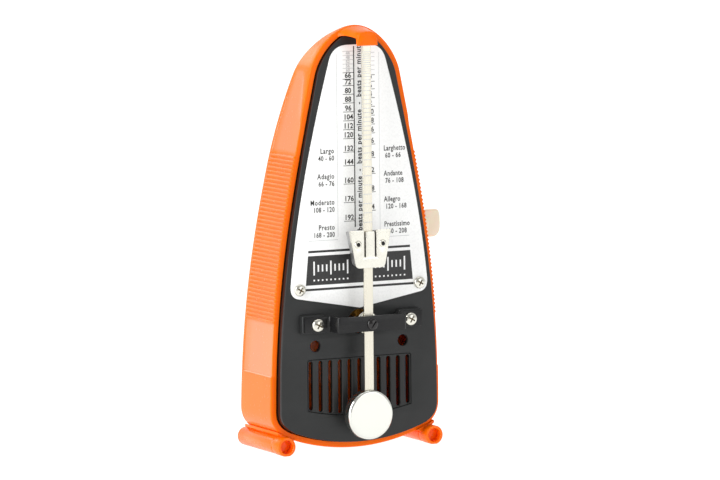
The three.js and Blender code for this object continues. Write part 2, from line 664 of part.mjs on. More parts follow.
add('case_housing', caseHousing(), orange());
add('left_foot_tube', footTube(-1), orange());
add('right_foot_tube', footTube(1), orange());
add('pendulum_catch', pendulumCatch(), orange());
add('front_panel', frontPanel(), blackPlastic());
add('scale_plate', scalePlate(), whiteSheet());
add('pivot_bracket', pivotBracket(), blackSteel());
add('pivot_screw', pivotScrew(), blackSteel());
for (const [side, s] of [['left', -1], ['right', 1]]) {
  add(`${side}_plate_screw`, panScrew(s * PLATE.screwX, PLATE.screwZ, -2.1, 2.25, 1.45, 1, 1.8), steel());
  add(`${side}_bracket_screw`, panScrew(s * BRACKET.screwX, PIVOT_Z, -5.7, 2.45, 1.85, 1.2, 5), steel());
  add(`${side}_weight_rivet`, weightRivet(s), steel());
  add(`${side}_movement_plate`, movementPlate(s), brass());
}
add('pendulum_rod', pendulumRod(), steel());
add('pendulum_hub', pendulumHub(), steel());
add('pendulum_arbor', pendulumArbor(), steel());
add('pendulum_bob', pendulumBob(), steel());
add('bob_pin', bobPin(), steel());
add('front_pallet', pallet(12, 0.6), steel());
add('rear_pallet', pallet(18, -0.6), steel());
add('weight_plate', weightPlate(), steel());
add('weight_block', weightBlock(), steel());
add('weight_spring', weightSpring(), steel());
add('winding_key', windingKey(), ivory());
add('winding_arbor', windingArbor(), steel());
add('ratchet_wheel', ratchetWheel(), brass());
add('click', click(), steel());
add('click_screw', clickScrew(), steel());
add('click_spring', clickSpring(), steel());
add('spring_barrel', springBarrel(), brass());
add('barrel_cover', barrelCover(), brass());
add('mainspring', mainspring(), steel());
add('intermediate_arbor', trainArbor(middle, 4.6, 7.2, aim(middle, winding) + Math.PI / TEETH.pinion), steel());
add('intermediate_wheel', intermediateWheel(), brass());
add('escape_arbor', trainArbor(escape, -11.2, -8.9, aim(escape, middle) + Math.PI / TEETH.pinion), steel());
add('escape_wheel', escapeWheel(), brass());
pillars.forEach((at, i) => add(`movement_pillar_${i + 1}`, pillar(at), brass()));
add('rear_bridge', rearBridge(), brass());

assembly.position.set(-(BOUNDS.left + BOUNDS.right) / 2, -(BOUNDS.front + BOUNDS.rear) / 2, 0);

export default group;
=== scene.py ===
import json
import math
import bpy
import bmesh
import numpy as np
from mathutils import Matrix, Vector


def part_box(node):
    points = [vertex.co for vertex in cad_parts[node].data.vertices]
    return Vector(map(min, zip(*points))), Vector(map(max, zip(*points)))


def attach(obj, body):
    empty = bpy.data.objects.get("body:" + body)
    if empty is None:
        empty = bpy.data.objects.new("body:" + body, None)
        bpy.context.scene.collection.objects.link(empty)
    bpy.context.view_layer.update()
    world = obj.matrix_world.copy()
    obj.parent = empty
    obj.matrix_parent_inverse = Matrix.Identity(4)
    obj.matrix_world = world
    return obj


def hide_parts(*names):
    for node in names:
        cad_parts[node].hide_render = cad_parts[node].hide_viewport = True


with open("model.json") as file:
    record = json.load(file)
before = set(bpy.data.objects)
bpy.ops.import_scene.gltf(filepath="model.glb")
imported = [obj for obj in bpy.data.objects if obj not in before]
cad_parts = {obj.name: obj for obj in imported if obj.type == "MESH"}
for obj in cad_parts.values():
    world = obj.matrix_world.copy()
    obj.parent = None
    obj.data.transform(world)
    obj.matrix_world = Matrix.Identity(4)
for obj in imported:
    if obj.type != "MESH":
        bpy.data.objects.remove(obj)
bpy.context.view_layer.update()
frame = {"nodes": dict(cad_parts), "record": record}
print("frame loaded:", len(frame["nodes"]), "nodes")

# Pieces are drawn in millimetres: x across from the middle of the case, y back from the panel's face, z up.
mm = 0.001
panelLow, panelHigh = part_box("front_panel")
padHigh = 2.5  # the panel's two pads stand this far out of its face
caseMiddle = (panelLow.x + panelHigh.x) / 2
faceY = panelLow.y + padHigh * mm
toRow = Matrix.Translation((caseMiddle, faceY, 0)) @ Matrix.Scale(mm, 4)
scene = bpy.context.scene


def nodeSpan(node):  # a CAD node's lowest and highest corner, in the drawing millimetres
    low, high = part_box(node)
    back = toRow.inverted()
    return back @ low, back @ high


arborLow, arborHigh = nodeSpan("pendulum_arbor")
pivotZ = (arborLow.z + arborHigh.z) / 2


# finishing a piece: into the row frame, with its material and body
def placeMesh(mesh, name, material, body, replaced=(), sharp=35):
    mesh.transform(toRow)
    mesh.name = name
    mesh.materials.clear()
    mesh.materials.append(material)
    piece = bpy.data.objects.new(name, mesh)
    scene.collection.objects.link(piece)
    mesh.shade_smooth()
    mesh.set_sharp_from_angle(angle=math.radians(sharp))
    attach(piece, body)
    if replaced:
        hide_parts(*replaced)
    return piece


def finishPiece(bm, name, material, body, replaced=(), sharp=35):
    bmesh.ops.remove_doubles(bm, verts=bm.verts, dist=0.002)
    bmesh.ops.recalc_face_normals(bm, faces=bm.faces)
    mesh = bpy.data.meshes.new(name)
    bm.to_mesh(mesh)
    bm.free()
    return placeMesh(mesh, name, material, body, replaced, sharp)


# shapes added to a bmesh
def addBox(bm, low, high, round=0.0, segments=2):
    size = [b - a for a, b in zip(low, high)]
    middle = [(a + b) / 2 for a, b in zip(low, high)]
    matrix = Matrix.Translation(middle) @ Matrix.Diagonal((*size, 1))
    made = bmesh.ops.create_cube(bm, size=1, matrix=matrix)["verts"]
    if round > 0:
        edges = list({e for v in made for e in v.link_edges})
        bmesh.ops.bevel(bm, geom=edges, offset=round, offset_type="OFFSET", affect="EDGES",
                        segments=segments, profile=0.5, material=-1)


def addTurned(bm, profile, middle, axis="y", steps=48, closed=False):  # profile: (radius, along)
    directions = {"x": ((1, 0, 0), (0, 1, 0)), "y": ((0, 1, 0), (1, 0, 0)), "z": ((0, 0, 1), (1, 0, 0))}
    along, across = (Vector(v) for v in directions[axis])
    middle = Vector(middle)
    points = [bm.verts.new(middle + along * a + across * r) for r, a in profile]
    pairs = list(zip(points, points[1:])) + ([(points[-1], points[0])] if closed else [])
    edges = [bm.edges.new(pair) for pair in pairs]
    bmesh.ops.spin(bm, geom=points + edges, cent=middle, axis=along, angle=math.tau, steps=steps,
                   use_merge=True)


def addPlate(bm, outlines, y0, y1, round=0.0, roundSteps=2):  # first outline the rim, the others holes
    curve = bpy.data.curves.new("outline", "CURVE")
    curve.dimensions = "2D"
    curve.fill_mode = "BOTH"
    curve.extrude = (y1 - y0) / 2 - round
    curve.bevel_depth = round
    curve.bevel_resolution = roundSteps
    curve.offset = -round
    for number, points in enumerate(outlines):
        area = sum(a[0] * b[1] - b[0] * a[1] for a, b in zip(points, points[1:] + points[:1]))
        ordered = points if (area < 0) == (number == 0) else points[::-1]
        spline = curve.splines.new("POLY")
        spline.points.add(len(ordered) - 1)
        spline.use_cyclic_u = True
        for point, (x, z) in zip(spline.points, ordered):
            point.co = (x, z, 0, 1)
    turn = Matrix.Translation((0, (y0 + y1) / 2, 0)) @ Matrix.Rotation(math.pi / 2, 4, "X")
    addCurve(bm, curve, turn)


def addCurve(bm, curve, matrix):
    holder = bpy.data.objects.new("holder", curve)
    scene.collection.objects.link(holder)
    mesh = bpy.data.meshes.new_from_object(holder.evaluated_get(bpy.context.evaluated_depsgraph_get()))
    mesh.transform(matrix)
    bm.from_mesh(mesh)
    bpy.data.objects.remove(holder)
    bpy.data.curves.remove(curve)
    bpy.data.meshes.remove(mesh)


def addLoft(bm, rings):  # closed rings of equally many points, skinned one after the other
    loop = bmesh.ops.create_circle(bm, segments=len(rings[0]), radius=1)["verts"]
    for vert, place in zip(loop, rings[0]):
        vert.co = place
    for ring in rings[1:]:
        edges = [bm.edges.get(pair) for pair in zip(loop, loop[1:] + loop[:1])]
        made = bmesh.ops.extrude_edge_only(bm, edges=edges)["geom"]
        fresh = {g for g in made if isinstance(g, bmesh.types.BMVert)}
        loop = [next(e.other_vert(v) for e in v.link_edges if e.other_vert(v) in fresh) for v in loop]
        for vert, place in zip(loop, ring):
            vert.co = place


def carved(bm, cutter):  # bm with cutter taken away
    objects = []
    for part in (bm, cutter):
        bmesh.ops.remove_doubles(part, verts=part.verts, dist=0.001)
        bmesh.ops.recalc_face_normals(part, faces=part.faces)
        mesh = bpy.data.meshes.new("carving")
        part.to_mesh(mesh)
        part.free()
        objects.append(bpy.data.objects.new("carving", mesh))
        scene.collection.objects.link(objects[-1])
    body, tool = objects
    cut = body.modifiers.new("cut", "BOOLEAN")
    cut.operation = "DIFFERENCE"
    cut.solver = "EXACT"
    cut.use_self = True
    cut.object = tool
    mesh = bpy.data.meshes.new_from_object(body.evaluated_get(bpy.context.evaluated_depsgraph_get()))
    result = bmesh.new()
    result.from_mesh(mesh)
    for thing in objects:
        bpy.data.objects.remove(thing)
    return result


# curves
def bezier(points, t):
    points = [Vector(p) for p in points]
    while len(points) > 1:
        points = [a.lerp(b, t) for a, b in zip(points, points[1:])]
    return points[0]


def arc(cx, cz, radius, start, end, steps):  # degrees
    angles = [math.radians(start + (end - start) * i / steps) for i in range(steps + 1)]
    return [(cx + radius * math.cos(a), cz + radius * math.sin(a)) for a in angles]


def circle(cx, cz, radius, steps=48):
    return arc(cx, cz, radius, 0, 360 * (steps - 1) / steps, steps - 1)


def mirrored(points):  # a right-hand outline from bottom to top, closed over its left-hand twin
    left = [(-x, z) for x, z in reversed(points) if x > 0.01]
    return list(points) + left


# materials
def startMaterial(name, color, rough, metal=0.0):
    material = bpy.data.materials.new(name)
    material.use_nodes = True
    tree = material.node_tree
    shader = next(n for n in tree.nodes if n.type == "BSDF_PRINCIPLED")
    shader.inputs["Base Color"].default_value = (*color, 1)
    shader.inputs["Roughness"].default_value = rough
    shader.inputs["Metallic"].default_value = metal
    return material, tree, shader


def addTexture(tree, kind, scale, stretch=(1, 1, 1), detail=3.0):
    coords = tree.nodes.new("ShaderNodeTexCoord")
    mapping = tree.nodes.new("ShaderNodeMapping")
    mapping.inputs["Scale"].default_value = stretch
    texture = tree.nodes.new(kind)
    texture.inputs["Scale"].default_value = scale
    if "Detail" in texture.inputs:
        texture.inputs["Detail"].default_value = detail
    tree.links.new(coords.outputs["Object"], mapping.inputs["Vector"])
    tree.links.new(mapping.outputs["Vector"], texture.inputs["Vector"])
    return texture


def varyRoughness(tree, shader, texture, low, high):
    spread = tree.nodes.new("ShaderNodeMapRange")
    spread.inputs["From Min"].default_value = 0.3
    spread.inputs["From Max"].default_value = 0.7
    spread.inputs["To Min"].default_value = low
    spread.inputs["To Max"].default_value = high
    tree.links.new(texture.outputs[0], spread.inputs["Value"])
    tree.links.new(spread.outputs["Result"], shader.inputs["Roughness"])


def varyColor(tree, shader, texture, dark, light):
    ramp = tree.nodes.new("ShaderNodeValToRGB")
    ramp.color_ramp.elements[0].position = 0.3
    ramp.color_ramp.elements[0].color = (*dark, 1)
    ramp.color_ramp.elements[1].position = 0.7
    ramp.color_ramp.elements[1].color = (*light, 1)
    tree.links.new(texture.outputs[0], ramp.inputs["Fac"])
    tree.links.new(ramp.outputs["Color"], shader.inputs["Base Color"])


def addBump(tree, shader, texture, distance, strength=1.0):
    bump = tree.nodes.new("ShaderNodeBump")
    bump.inputs["Distance"].default_value = distance
    bump.inputs["Strength"].default_value = strength
    tree.links.new(texture.outputs[0], bump.inputs["Height"])
    tree.links.new(bump.outputs["Normal"], shader.inputs["Normal"])


def makeOrangePlastic():
    look = {"dark": (0.97, 0.138, 0.001), "light": (1.0, 0.158, 0.0015), "rough": (0.2, 0.28)}
    material, tree, shader = startMaterial("orangePlastic", look["light"], 0.25)
    shader.inputs["Coat Roughness"].default_value = 0.1
    shader.inputs["Coat IOR"].default_value = 1.75
    gloss = tree.nodes.new("ShaderNodeAttribute")  # how far each spot is polished
    gloss.attribute_name = "gloss"
    tree.links.new(gloss.outputs["Fac"], shader.inputs["Coat Weight"])
    shader.inputs["Specular IOR Level"].default_value = 0.12
    flow = addTexture(tree, "ShaderNodeTexNoise", 45, (1, 1, 0.5))
    varyColor(tree, shader, flow, look["dark"], look["light"])
    skin = addTexture(tree, "ShaderNodeTexNoise", 900)
    varyRoughness(tree, shader, skin, *look["rough"])
    addBump(tree, shader, skin, 0.000008, 0.25)
    return material


def makeBlackPlastic():
    look = {"dark": (0.011, 0.012, 0.012), "light": (0.019, 0.02, 0.02), "rough": (0.38, 0.54)}
    material, tree, shader = startMaterial("charcoalPlastic", look["dark"], 0.5)
    shader.inputs["Specular IOR Level"].default_value = 0.38
    cloud = addTexture(tree, "ShaderNodeTexNoise", 60)
    varyColor(tree, shader, cloud, look["dark"], look["light"])
    grain = addTexture(tree, "ShaderNodeTexNoise", 4200, detail=4.0)
    varyRoughness(tree, shader, grain, *look["rough"])
    addBump(tree, shader, grain, 0.00003, 0.5)
    return material


def makeGlossBlack():
    material, tree, shader = startMaterial("glossBlackPlastic", (0.008, 0.007, 0.007), 0.12)
    skin = addTexture(tree, "ShaderNodeTexNoise", 500)
    varyRoughness(tree, shader, skin, 0.1, 0.18)
    cloud = addTexture(tree, "ShaderNodeTexNoise", 50)
    varyColor(tree, shader, cloud, (0.006, 0.005, 0.005), (0.012, 0.01, 0.01))
    return material


def makeWhiteLacquer():
    material, tree, shader = startMaterial("whiteLacquer", (0.93, 0.93, 0.91), 0.3)
    shader.inputs["Coat Weight"].default_value = 0.3
    shader.inputs["Coat Roughness"].default_value = 0.12
    cloud = addTexture(tree, "ShaderNodeTexNoise", 30)
    varyColor(tree, shader, cloud, (0.9, 0.905, 0.89), (0.95, 0.95, 0.94))
    skin = addTexture(tree, "ShaderNodeTexNoise", 1500)
    varyRoughness(tree, shader, skin, 0.22, 0.36)
    addBump(tree, shader, skin, 0.000006, 0.3)
    return material


def makeInk(name, dark, light):
    material, tree, shader = startMaterial(name, dark, 0.5)
    cover = addTexture(tree, "ShaderNodeTexNoise", 2500)
    varyColor(tree, shader, cover, dark, light)
    varyRoughness(tree, shader, cover, 0.4, 0.6)
    return material


# blackened steel for the bracket, also used as painted shade inside the rivet hollows
def makeBlackSteel():
    material, tree, shader = startMaterial("blackenedSteelAndShade", (0.008, 0.008, 0.009), 0.3)
    shader.inputs["Specular IOR Level"].default_value = 0.25
    shader.inputs["Coat Weight"].default_value = 0.08
    shader.inputs["Coat Roughness"].default_value = 0.15
    cloud = addTexture(tree, "ShaderNodeTexNoise", 120)
    varyColor(tree, shader, cloud, (0.006, 0.006, 0.007), (0.012, 0.012, 0.012))
    draw = addTexture(tree, "ShaderNodeTexNoise", 900, (0.12, 1, 1))
    varyRoughness(tree, shader, draw, 0.24, 0.42)
    addBump(tree, shader, draw, 0.00001, 0.4)
    return material


def makeMetal(name, color, rough, scale=1400, stretch=(1, 1, 1), depth=0.000004, tint=0.06):
    material, tree, shader = startMaterial(name, color, rough, 1.0)
    lines = addTexture(tree, "ShaderNodeTexNoise", scale, stretch, detail=2.0)
    varyRoughness(tree, shader, lines, rough * 0.75, rough * 1.3)
    cloud = addTexture(tree, "ShaderNodeTexNoise", 90)
    dark = tuple(c * (1 - tint) for c in color)
    varyColor(tree, shader, cloud, dark, color)
    addBump(tree, shader, lines, depth, 0.5)
    return material


def makeTurnedMetal(name, color, rough, middle):  # fine lathe rings round an axis along y
    material, tree, shader = startMaterial(name, color, rough, 1.0)
    rings = addTexture(tree, "ShaderNodeTexWave", 1500, (1, 0.0, 1))
    mapping = rings.inputs["Vector"].links[0].from_node
    mapping.vector_type = "TEXTURE"
    mapping.inputs["Location"].default_value = toRow @ Vector(middle)
    mapping.inputs["Scale"].default_value = (1, 1, 1)
    rings.wave_type = "RINGS"
    rings.rings_direction = "Y"
    rings.inputs["Distortion"].default_value = 0.6
    varyRoughness(tree, shader, rings, rough * 0.85, rough * 1.2)
    addBump(tree, shader, rings, 0.000002, 0.35)
    return material


def makeIvoryPlastic():
    material, tree, shader = startMaterial("ivoryPlastic", (0.86, 0.81, 0.68), 0.38)
    shader.inputs["Subsurface Weight"].default_value = 0.25
    shader.inputs["Subsurface Scale"].default_value = 0.002
    cloud = addTexture(tree, "ShaderNodeTexNoise", 140)
    varyColor(tree, shader, cloud, (0.82, 0.78, 0.6), (0.87, 0.84, 0.68))
    skin = addTexture(tree, "ShaderNodeTexNoise", 1800)
    varyRoughness(tree, shader, skin, 0.32, 0.46)
    addBump(tree, shader, skin, 0.00001, 0.4)
    return material


orangePlastic = makeOrangePlastic()
charcoalPlastic = makeBlackPlastic()
glossBlack = makeGlossBlack()
whiteLacquer = makeWhiteLacquer()
blackInk = makeInk("blackInk", (0.012, 0.012, 0.012), (0.03, 0.03, 0.03))
greyInk = makeInk("greyInk", (0.5, 0.51, 0.51), (0.6, 0.61, 0.61))
paleInk = makeInk("paleInk", (0.74, 0.75, 0.74), (0.82, 0.83, 0.82))
blackSteelAndShade = makeBlackSteel()
nickel = makeMetal("nickelPlate", (0.77, 0.755, 0.675), 0.22)
rodSteel = makeMetal("drawnSteel", (0.74, 0.705, 0.6), 0.28, 1600, (1, 1, 0.03), 0.000006)
springSteel = makeMetal("bluedSpring", (0.2, 0.24, 0.34), 0.28, 1200, (1, 1, 0.2))
# dark brownish metal, painted shade for the bottoms of the screws' cross recesses
paintedCrossShade = makeMetal("paintedCrossShade", (0.2, 0.15, 0.08), 0.5)
greyAlloy = makeMetal("castAlloy", (0.5, 0.5, 0.5), 0.36, 900, (1, 1, 1), 0.00001)
brass = makeMetal("stampedBrass", (0.62, 0.43, 0.16), 0.28, 900, (1, 1, 0.15))
ivoryPlastic = makeIvoryPlastic()
print("materials made")

# case outline, seen from the front, and its back, seen from the side
caseForm = {
    "underside": (0.6, 28, 5.75),  # height in the middle, then where the corner starts
    "corner": [(28, 5.75), (35.5, 9), (35.5, 16)],
    "side": [(35.5, 16), (35.5, 63), (29.75, 92), (19, 142)],
    "top": [(19, 142), (17.3, 150), (9, 160), (0, 160)],
    "backLow": [(32.6, -4), (29.4, 62), (25.8, 108)],
    "backHigh": [(25.8, 108), (23.5, 131), (14, 156), (2, 160.6)],
    "wall": 2.3, "rimY": 3.9, "lean": 0.0165, "rimRound": 0.55, "backRound": 2.6,
}
recessForm = {"deep": 0.4, "low": 29.5, "high": 143.5, "wideFrom": 112, "topFront": 6.6,
              "rear": 3.2, "edge": 0.25}
keyCollar = [(2.4, 27), (6.0, 27), (6.0, 31.9), (5.8, 32.35), (5.4, 32.5), (3.0, 32.5), (2.4, 32.2)]
glossForm = {"plain": 0.22, "sunk": 0.78, "rimEdge": 0.6, "fade": 0.2}
ribForm = {"first": 49.6, "pitch": 1.53, "count": 41, "share": 0.66, "proud": 0.1, "steps": 8}

sideSamples = [bezier(caseForm["side"], i / 400) for i in range(401)]
backSamples = [bezier(caseForm[part], i / 200) for part in ("backLow", "backHigh") for i in range(201)]


def backY(z):
    return float(np.interp(z, [p.y for p in backSamples], [p.x for p in backSamples]))


def recessFront(z):  # the flank is sunk through the rim, and from further back near the top
    rise = (z - recessForm["wideFrom"]) / (recessForm["high"] - recessForm["wideFrom"])
    return recessForm["topFront"] * min(max(rise, 0), 1)


def underside(t):  # a shallow arc from the middle out to the corner
    low, x, z = caseForm["underside"]
    radius = (x ** 2 + (z - low) ** 2) / (2 * (z - low))
    angle = math.asin(x / radius) * t
    return Vector((radius * math.sin(angle), low + radius * (1 - math.cos(angle))))


def sideHeights(ribSteps):  # heights of the rows up the flank, close together at the ribs
    first, pitch = ribForm["first"], ribForm["pitch"]
    last = first + pitch * ribForm["count"]
    rows = list(np.linspace(17.2, recessForm["low"] - 1, 8))
    rows += list(np.linspace(recessForm["low"] - 0.5, recessForm["low"] + 0.6, 8))
    rows += list(np.linspace(recessForm["low"] + 1.5, first - 0.8, 12))
    rows += list(np.linspace(first, last, ribForm["count"] * ribSteps + 1))
    rows += list(np.linspace(last + 1.5, 139, 14))
    return rows + [140.5]


def halfRows(fine=True):  # (place, outward normal, on the flank) from the middle of the underside to the apex
    rows = []

    def sample(curve, ts, flank=False):
        for t in ts:
            a, b = curve(max(t - 0.001, 0)), curve(min(t + 0.001, 1))
            along = (b - a).normalized()
            rows.append((curve(t), Vector((along.y, -along.x)), flank))

    sample(underside, [i / 14 for i in range(14)])
    sample(lambda t: bezier(caseForm["corner"], t), [i / 12 for i in range(12)])
    heights = sideHeights(ribForm["steps"]) if fine else list(np.linspace(16.5, 141, 40))
    zs = [p.y for p in sideSamples]
    ts = [float(np.interp(z, zs, [i / 400 for i in range(401)])) for z in heights]
    sample(lambda t: bezier(caseForm["side"], t), [0.0] + ts, True)
    sample(lambda t: bezier(caseForm["top"], t), [i / 30 for i in range(31)])
    rows[0] = (rows[0][0], Vector((0, -1)), False)
    rows[-1] = (rows[-1][0], Vector((0, 1)), False)
    return rows


def caseOutline(inset):
    points = []
    for place, normal, _ in halfRows(fine=False):
        moved = place - normal * inset
        points.append((max(moved.x, 0), moved.y))
    return mirrored(points)


def smoothStep(value, edge):
    t = min(max(value / edge * 0.5 + 0.5, 0), 1)
    return t * t * (3 - 2 * t)


def sunkShare(y, z):  # 1 inside the sunk part of the flank, 0 outside it
    inside = min(z - recessForm["low"], recessForm["high"] - z, y - recessFront(z),
                 backY(z) - recessForm["rear"] - y)
    corner = Vector((max(y - (backY(z) - 7.5), 0), max(z - (recessForm["high"] - 5), 0)))
    inside = min(inside, 5.0 - corner.length) if corner.y > 0 else inside
    return smoothStep(inside, recessForm["edge"])


def flankRelief(y, z):  # how far the flank stands in (-) or out (+) at a point
    turn = (z - ribForm["first"]) / ribForm["pitch"]
    bead = 0.0
    if 0 <= turn <= ribForm["count"]:
        across = (turn % 1) / ribForm["share"] * 2 - 1
        bead = math.sqrt(max(1 - across ** 2, 0))
    return sunkShare(y, z) * (bead * (recessForm["deep"] + ribForm["proud"]) - recessForm["deep"])


def addGloss(piece, share):  # share(place) gives the polish at a drawing point
    back = toRow.inverted()
    values = [share(back @ vert.co) for vert in piece.data.vertices]
    piece.data.attributes.new("gloss", "FLOAT", "POINT").data.foreach_set("value", values)


def caseGloss(place):
    ribsLow = ribForm["first"] - 0.3
    ribsHigh = ribForm["first"] + ribForm["pitch"] * ribForm["count"]
    plain = place.z < ribsLow or place.z > ribsHigh
    fromRim = place.y - caseForm["rimY"] + caseForm["lean"] * place.z - glossForm["rimEdge"]
    sunk = glossForm["sunk"] * sunkShare(place.y, place.z) if plain else 0
    return smoothStep(fromRim, glossForm["fade"]) * (glossForm["plain"] + sunk)


def caseRings():
    rows = halfRows()
    wall, rimRound = caseForm["wall"], caseForm["rimRound"]

    def frontY(z):
        return caseForm["rimY"] - caseForm["lean"] * z

    def ring(build):
        right = [build(place, normal, onFlank) for place, normal, onFlank in rows]
        left = [Vector((-p.x, p.y, p.z)) for p in reversed(right[1:-1])]
        return right + left

    def spare(z):  # room between the rim's rounding and the back
        return max(backY(z) - frontY(z) - rimRound, 0.15)

    def backRound(z):
        return min(caseForm["backRound"], 0.6 * spare(z))

    def flat(share):  # rows across the back
        def build(place, normal, onFlank):
            p = place - normal * backRound(place.y)
            return Vector((max(p.x, 0) * share, backY(place.y), p.y))
        return ring(build)

    def rear(angle):  # the rounding between back and flank
        def build(place, normal, onFlank):
            r = backRound(place.y)
            p = place - normal * (r * (1 - math.cos(angle)))
            return Vector((max(p.x, 0), backY(place.y) - r * (1 - math.sin(angle)), p.y))
        return ring(build)

    def flank(nearFront, offset):  # rows along the flank, set out from the recess edges
        def build(place, normal, onFlank):
            z = place.y
            start, end = frontY(z) + rimRound, backY(z) - backRound(z)
            low = min(start + 0.3 * (end - start), max(recessFront(z), start + 0.7))
            high = max(end - 0.3 * (end - start), backY(z) - recessForm["rear"])
            high = max(high, low)
            y = low + (high - low) * nearFront + offset
            y = min(max(y, start), max(end, start))
            out = flankRelief(y, z) if onFlank else 0.0
            p = place + normal * out
            return Vector((max(p.x, 0), y, p.y))
        return ring(build)

    def rim(angle):
        def build(place, normal, onFlank):
            out = flankRelief(frontY(place.y) + rimRound, place.y) if onFlank else 0.0
            p = place + normal * (out * math.cos(angle) - rimRound * (1 - math.cos(angle)))
            return Vector((max(p.x, 0), frontY(p.y) + rimRound * (1 - math.sin(angle)), p.y))
        return ring(build)

    def inner(depth, share=1.0, inset=wall):
        def build(place, normal, onFlank):
            p = place - normal * inset
            front = frontY(p.y)
            y = front + (max(backY(p.y) - wall, front + 0.8) - front) * depth
            return Vector((max(p.x, 0) * share, y, p.y))
        return ring(build)

    rings = [flat(s) for s in (0, 0.35, 0.7, 0.9, 1)]
    rings += [rear(math.radians(a)) for a in (72, 54, 36, 18, 0)]
    edge = recessForm["edge"]
    rings += [flank(1, o * edge) for o in (1.6, 0.5, 0.17, -0.17, -0.5, -1.4)]
    rings += [flank(s, 0) for s in (0.75, 0.5, 0.25)]
    rings += [flank(0, o * edge) for o in (1.4, 0.5, 0.17, -0.17, -0.5, -1.6)]
    rings += [rim(math.radians(a)) for a in (0, 15, 30, 45, 60, 75, 90)]
    rings += [inner(0, inset=wall - 0.15), inner(0.04), inner(0.35), inner(0.7), inner(1)]
    return rings + [inner(1, s) for s in (0.7, 0.35, 0)]


def buildCase():
    bm = bmesh.new()
    addLoft(bm, caseRings())
    keyLow, keyHigh = nodeSpan("winding_key")
    keyY, keyZ = (keyLow.y + keyHigh.y) / 2, (keyLow.z + keyHigh.z) / 2
    addTurned(bm, keyCollar, (0, keyY, keyZ), "x", 64, True)
    shell = finishPiece(bm, "caseShell", orangePlastic, "root", ["case_housing"], 40)
    addGloss(shell, caseGloss)


buildCase()
print("case built")

# foot tubes, with the web that joins each to the case
footForm = {
    "x": 31.13, "z": 3.4, "radius": 3.62, "waist": 3.48, "bore": 2.6, "boreDeep": 3.2, "gloss": 0.15,
    "web": [(25.5, 5.3), (27.4, 4.6), (29.4, 5.2), (31.6, 6.3), (33.2, 7.7), (33.0, 8.6), (30.4, 7.2)],
    "webFront": 3.0, "webRear": 31.4,
}


def buildFoot(side, sign):
    low, high = nodeSpan(side + "_foot_tube")
    front, rear, floor = low.y, high.y, low.y + footForm["boreDeep"]
    r, waist, bore = footForm["radius"], footForm["waist"], footForm["bore"]
    profile = [(0, rear), (waist - 0.9, rear), (waist - 0.35, rear - 0.2), (waist, rear - 0.8),
               (waist, front + 6.9), (waist - 0.22, front + 6.65), (waist - 0.22, front + 6.3),
               (r - 0.05, front + 6.0), (r, front + 5.7),
               (r, front + 0.35), (r - 0.1, front + 0.1), (r - 0.32, front), (bore + 0.15, front),
               (bore, front + 0.15), (bore - 0.1, floor), (0, floor)]
    bm = bmesh.new()
    addTurned(bm, profile, (sign * footForm["x"], 0, footForm["z"]), "y", 72)
    web = [(sign * x, z) for x, z in footForm["web"]]
    addPlate(bm, [web], footForm["webFront"], footForm["webRear"], 0.25)
    bmesh.ops.remove_doubles(bm, verts=bm.verts, dist=0.002)
    for vert in bm.verts:  # flat where it stands
        vert.co.z = max(vert.co.z, 0)
    tube = finishPiece(bm, side + "FootTube", orangePlastic, "root", [side + "_foot_tube"])
    addGloss(tube, lambda place: footForm["gloss"])


buildFoot("left", -1)
buildFoot("right", 1)

# front panel: face, skirt and pads, with the sound slots in a field of their own
panelForm = {
    "inset": 2.6, "thick": 2.0, "edge": 0.22, "skirt": 6.0, "skirtWall": 1.4, "skirtFront": 0.35,
    "arborHole": 4.6, "holeX": 18.4, "holeZ": 40.45, "hole": 2.15,
    "padX": 20.4, "padHalf": 4.6, "padLow": 45.5, "padTop": 52.5, "padRound": 0.55,
}
slotForm = {"count": 11, "pitch": 4.08, "width": 1.65, "top": 34.8, "bottom": 14.1, "rise": 0.092}
fieldForm = {"half": 21.75, "over": 0.55, "gap": 0.09, "deep": 0.16}


def slotBottom(x):
    return slotForm["bottom"] + slotForm["rise"] * (x / slotForm["pitch"]) ** 2


def slotOutline(x):
    r = slotForm["width"] / 2
    bottom = slotBottom(x)
    return arc(x, slotForm["top"] - r, r, 0, 180, 8) + arc(x, bottom + r, r, 180, 360, 8)


def fieldOutline(grow):
    half = fieldForm["half"] + grow
    top = slotForm["top"] + fieldForm["over"] + grow
    steps = 20
    across = [-half + 2 * half * i / steps for i in range(steps + 1)]
    low = [(x, slotBottom(x) - fieldForm["over"] - grow) for x in across]
    return low + [(half, top - 0.6), (half - 0.6, top), (-half + 0.6, top), (-half, top - 0.6)]


def buildPanel():
    f = panelForm
    wall = bmesh.new()  # the glossy wall round the face
    addPlate(wall, [caseOutline(f["inset"]), caseOutline(f["inset"] + f["skirtWall"])],
             f["skirtFront"], f["skirt"], 0.1, 1)
    for vert in wall.verts:  # the wall grows shallow towards the apex, where the back comes forward
        vert.co.y = min(vert.co.y, max(backY(vert.co.z) - caseForm["wall"] - 0.4, 1.0))
    finishPiece(wall, "panelWall", glossBlack, "root")
    bm = bmesh.new()
    holes = [circle(0, pivotZ, f["arborHole"]), fieldOutline(fieldForm["gap"])]
    holes += [circle(s * f["holeX"], f["holeZ"], f["hole"], 36) for s in (-1, 1)]
    addPlate(bm, [caseOutline(f["inset"] + 0.03)] + holes, 0, f["thick"], f["edge"])
    for s in (-1, 1):
        x = s * f["padX"]
        addBox(bm, (x - f["padHalf"], -padHigh, f["padLow"]), (x + f["padHalf"], 0.6, f["padTop"]), f["padRound"], 3)
    finishPiece(bm, "frontPanel", charcoalPlastic, "root", ["front_panel"])

    field = bmesh.new()
    half = (slotForm["count"] - 1) // 2
    slots = [slotOutline(i * slotForm["pitch"]) for i in range(-half, half + 1)]
    addPlate(field, [fieldOutline(0)] + slots, fieldForm["deep"], f["thick"], 0.3, 3)
    finishPiece(field, "slotField", charcoalPlastic, "root")


buildPanel()
print("panel built")

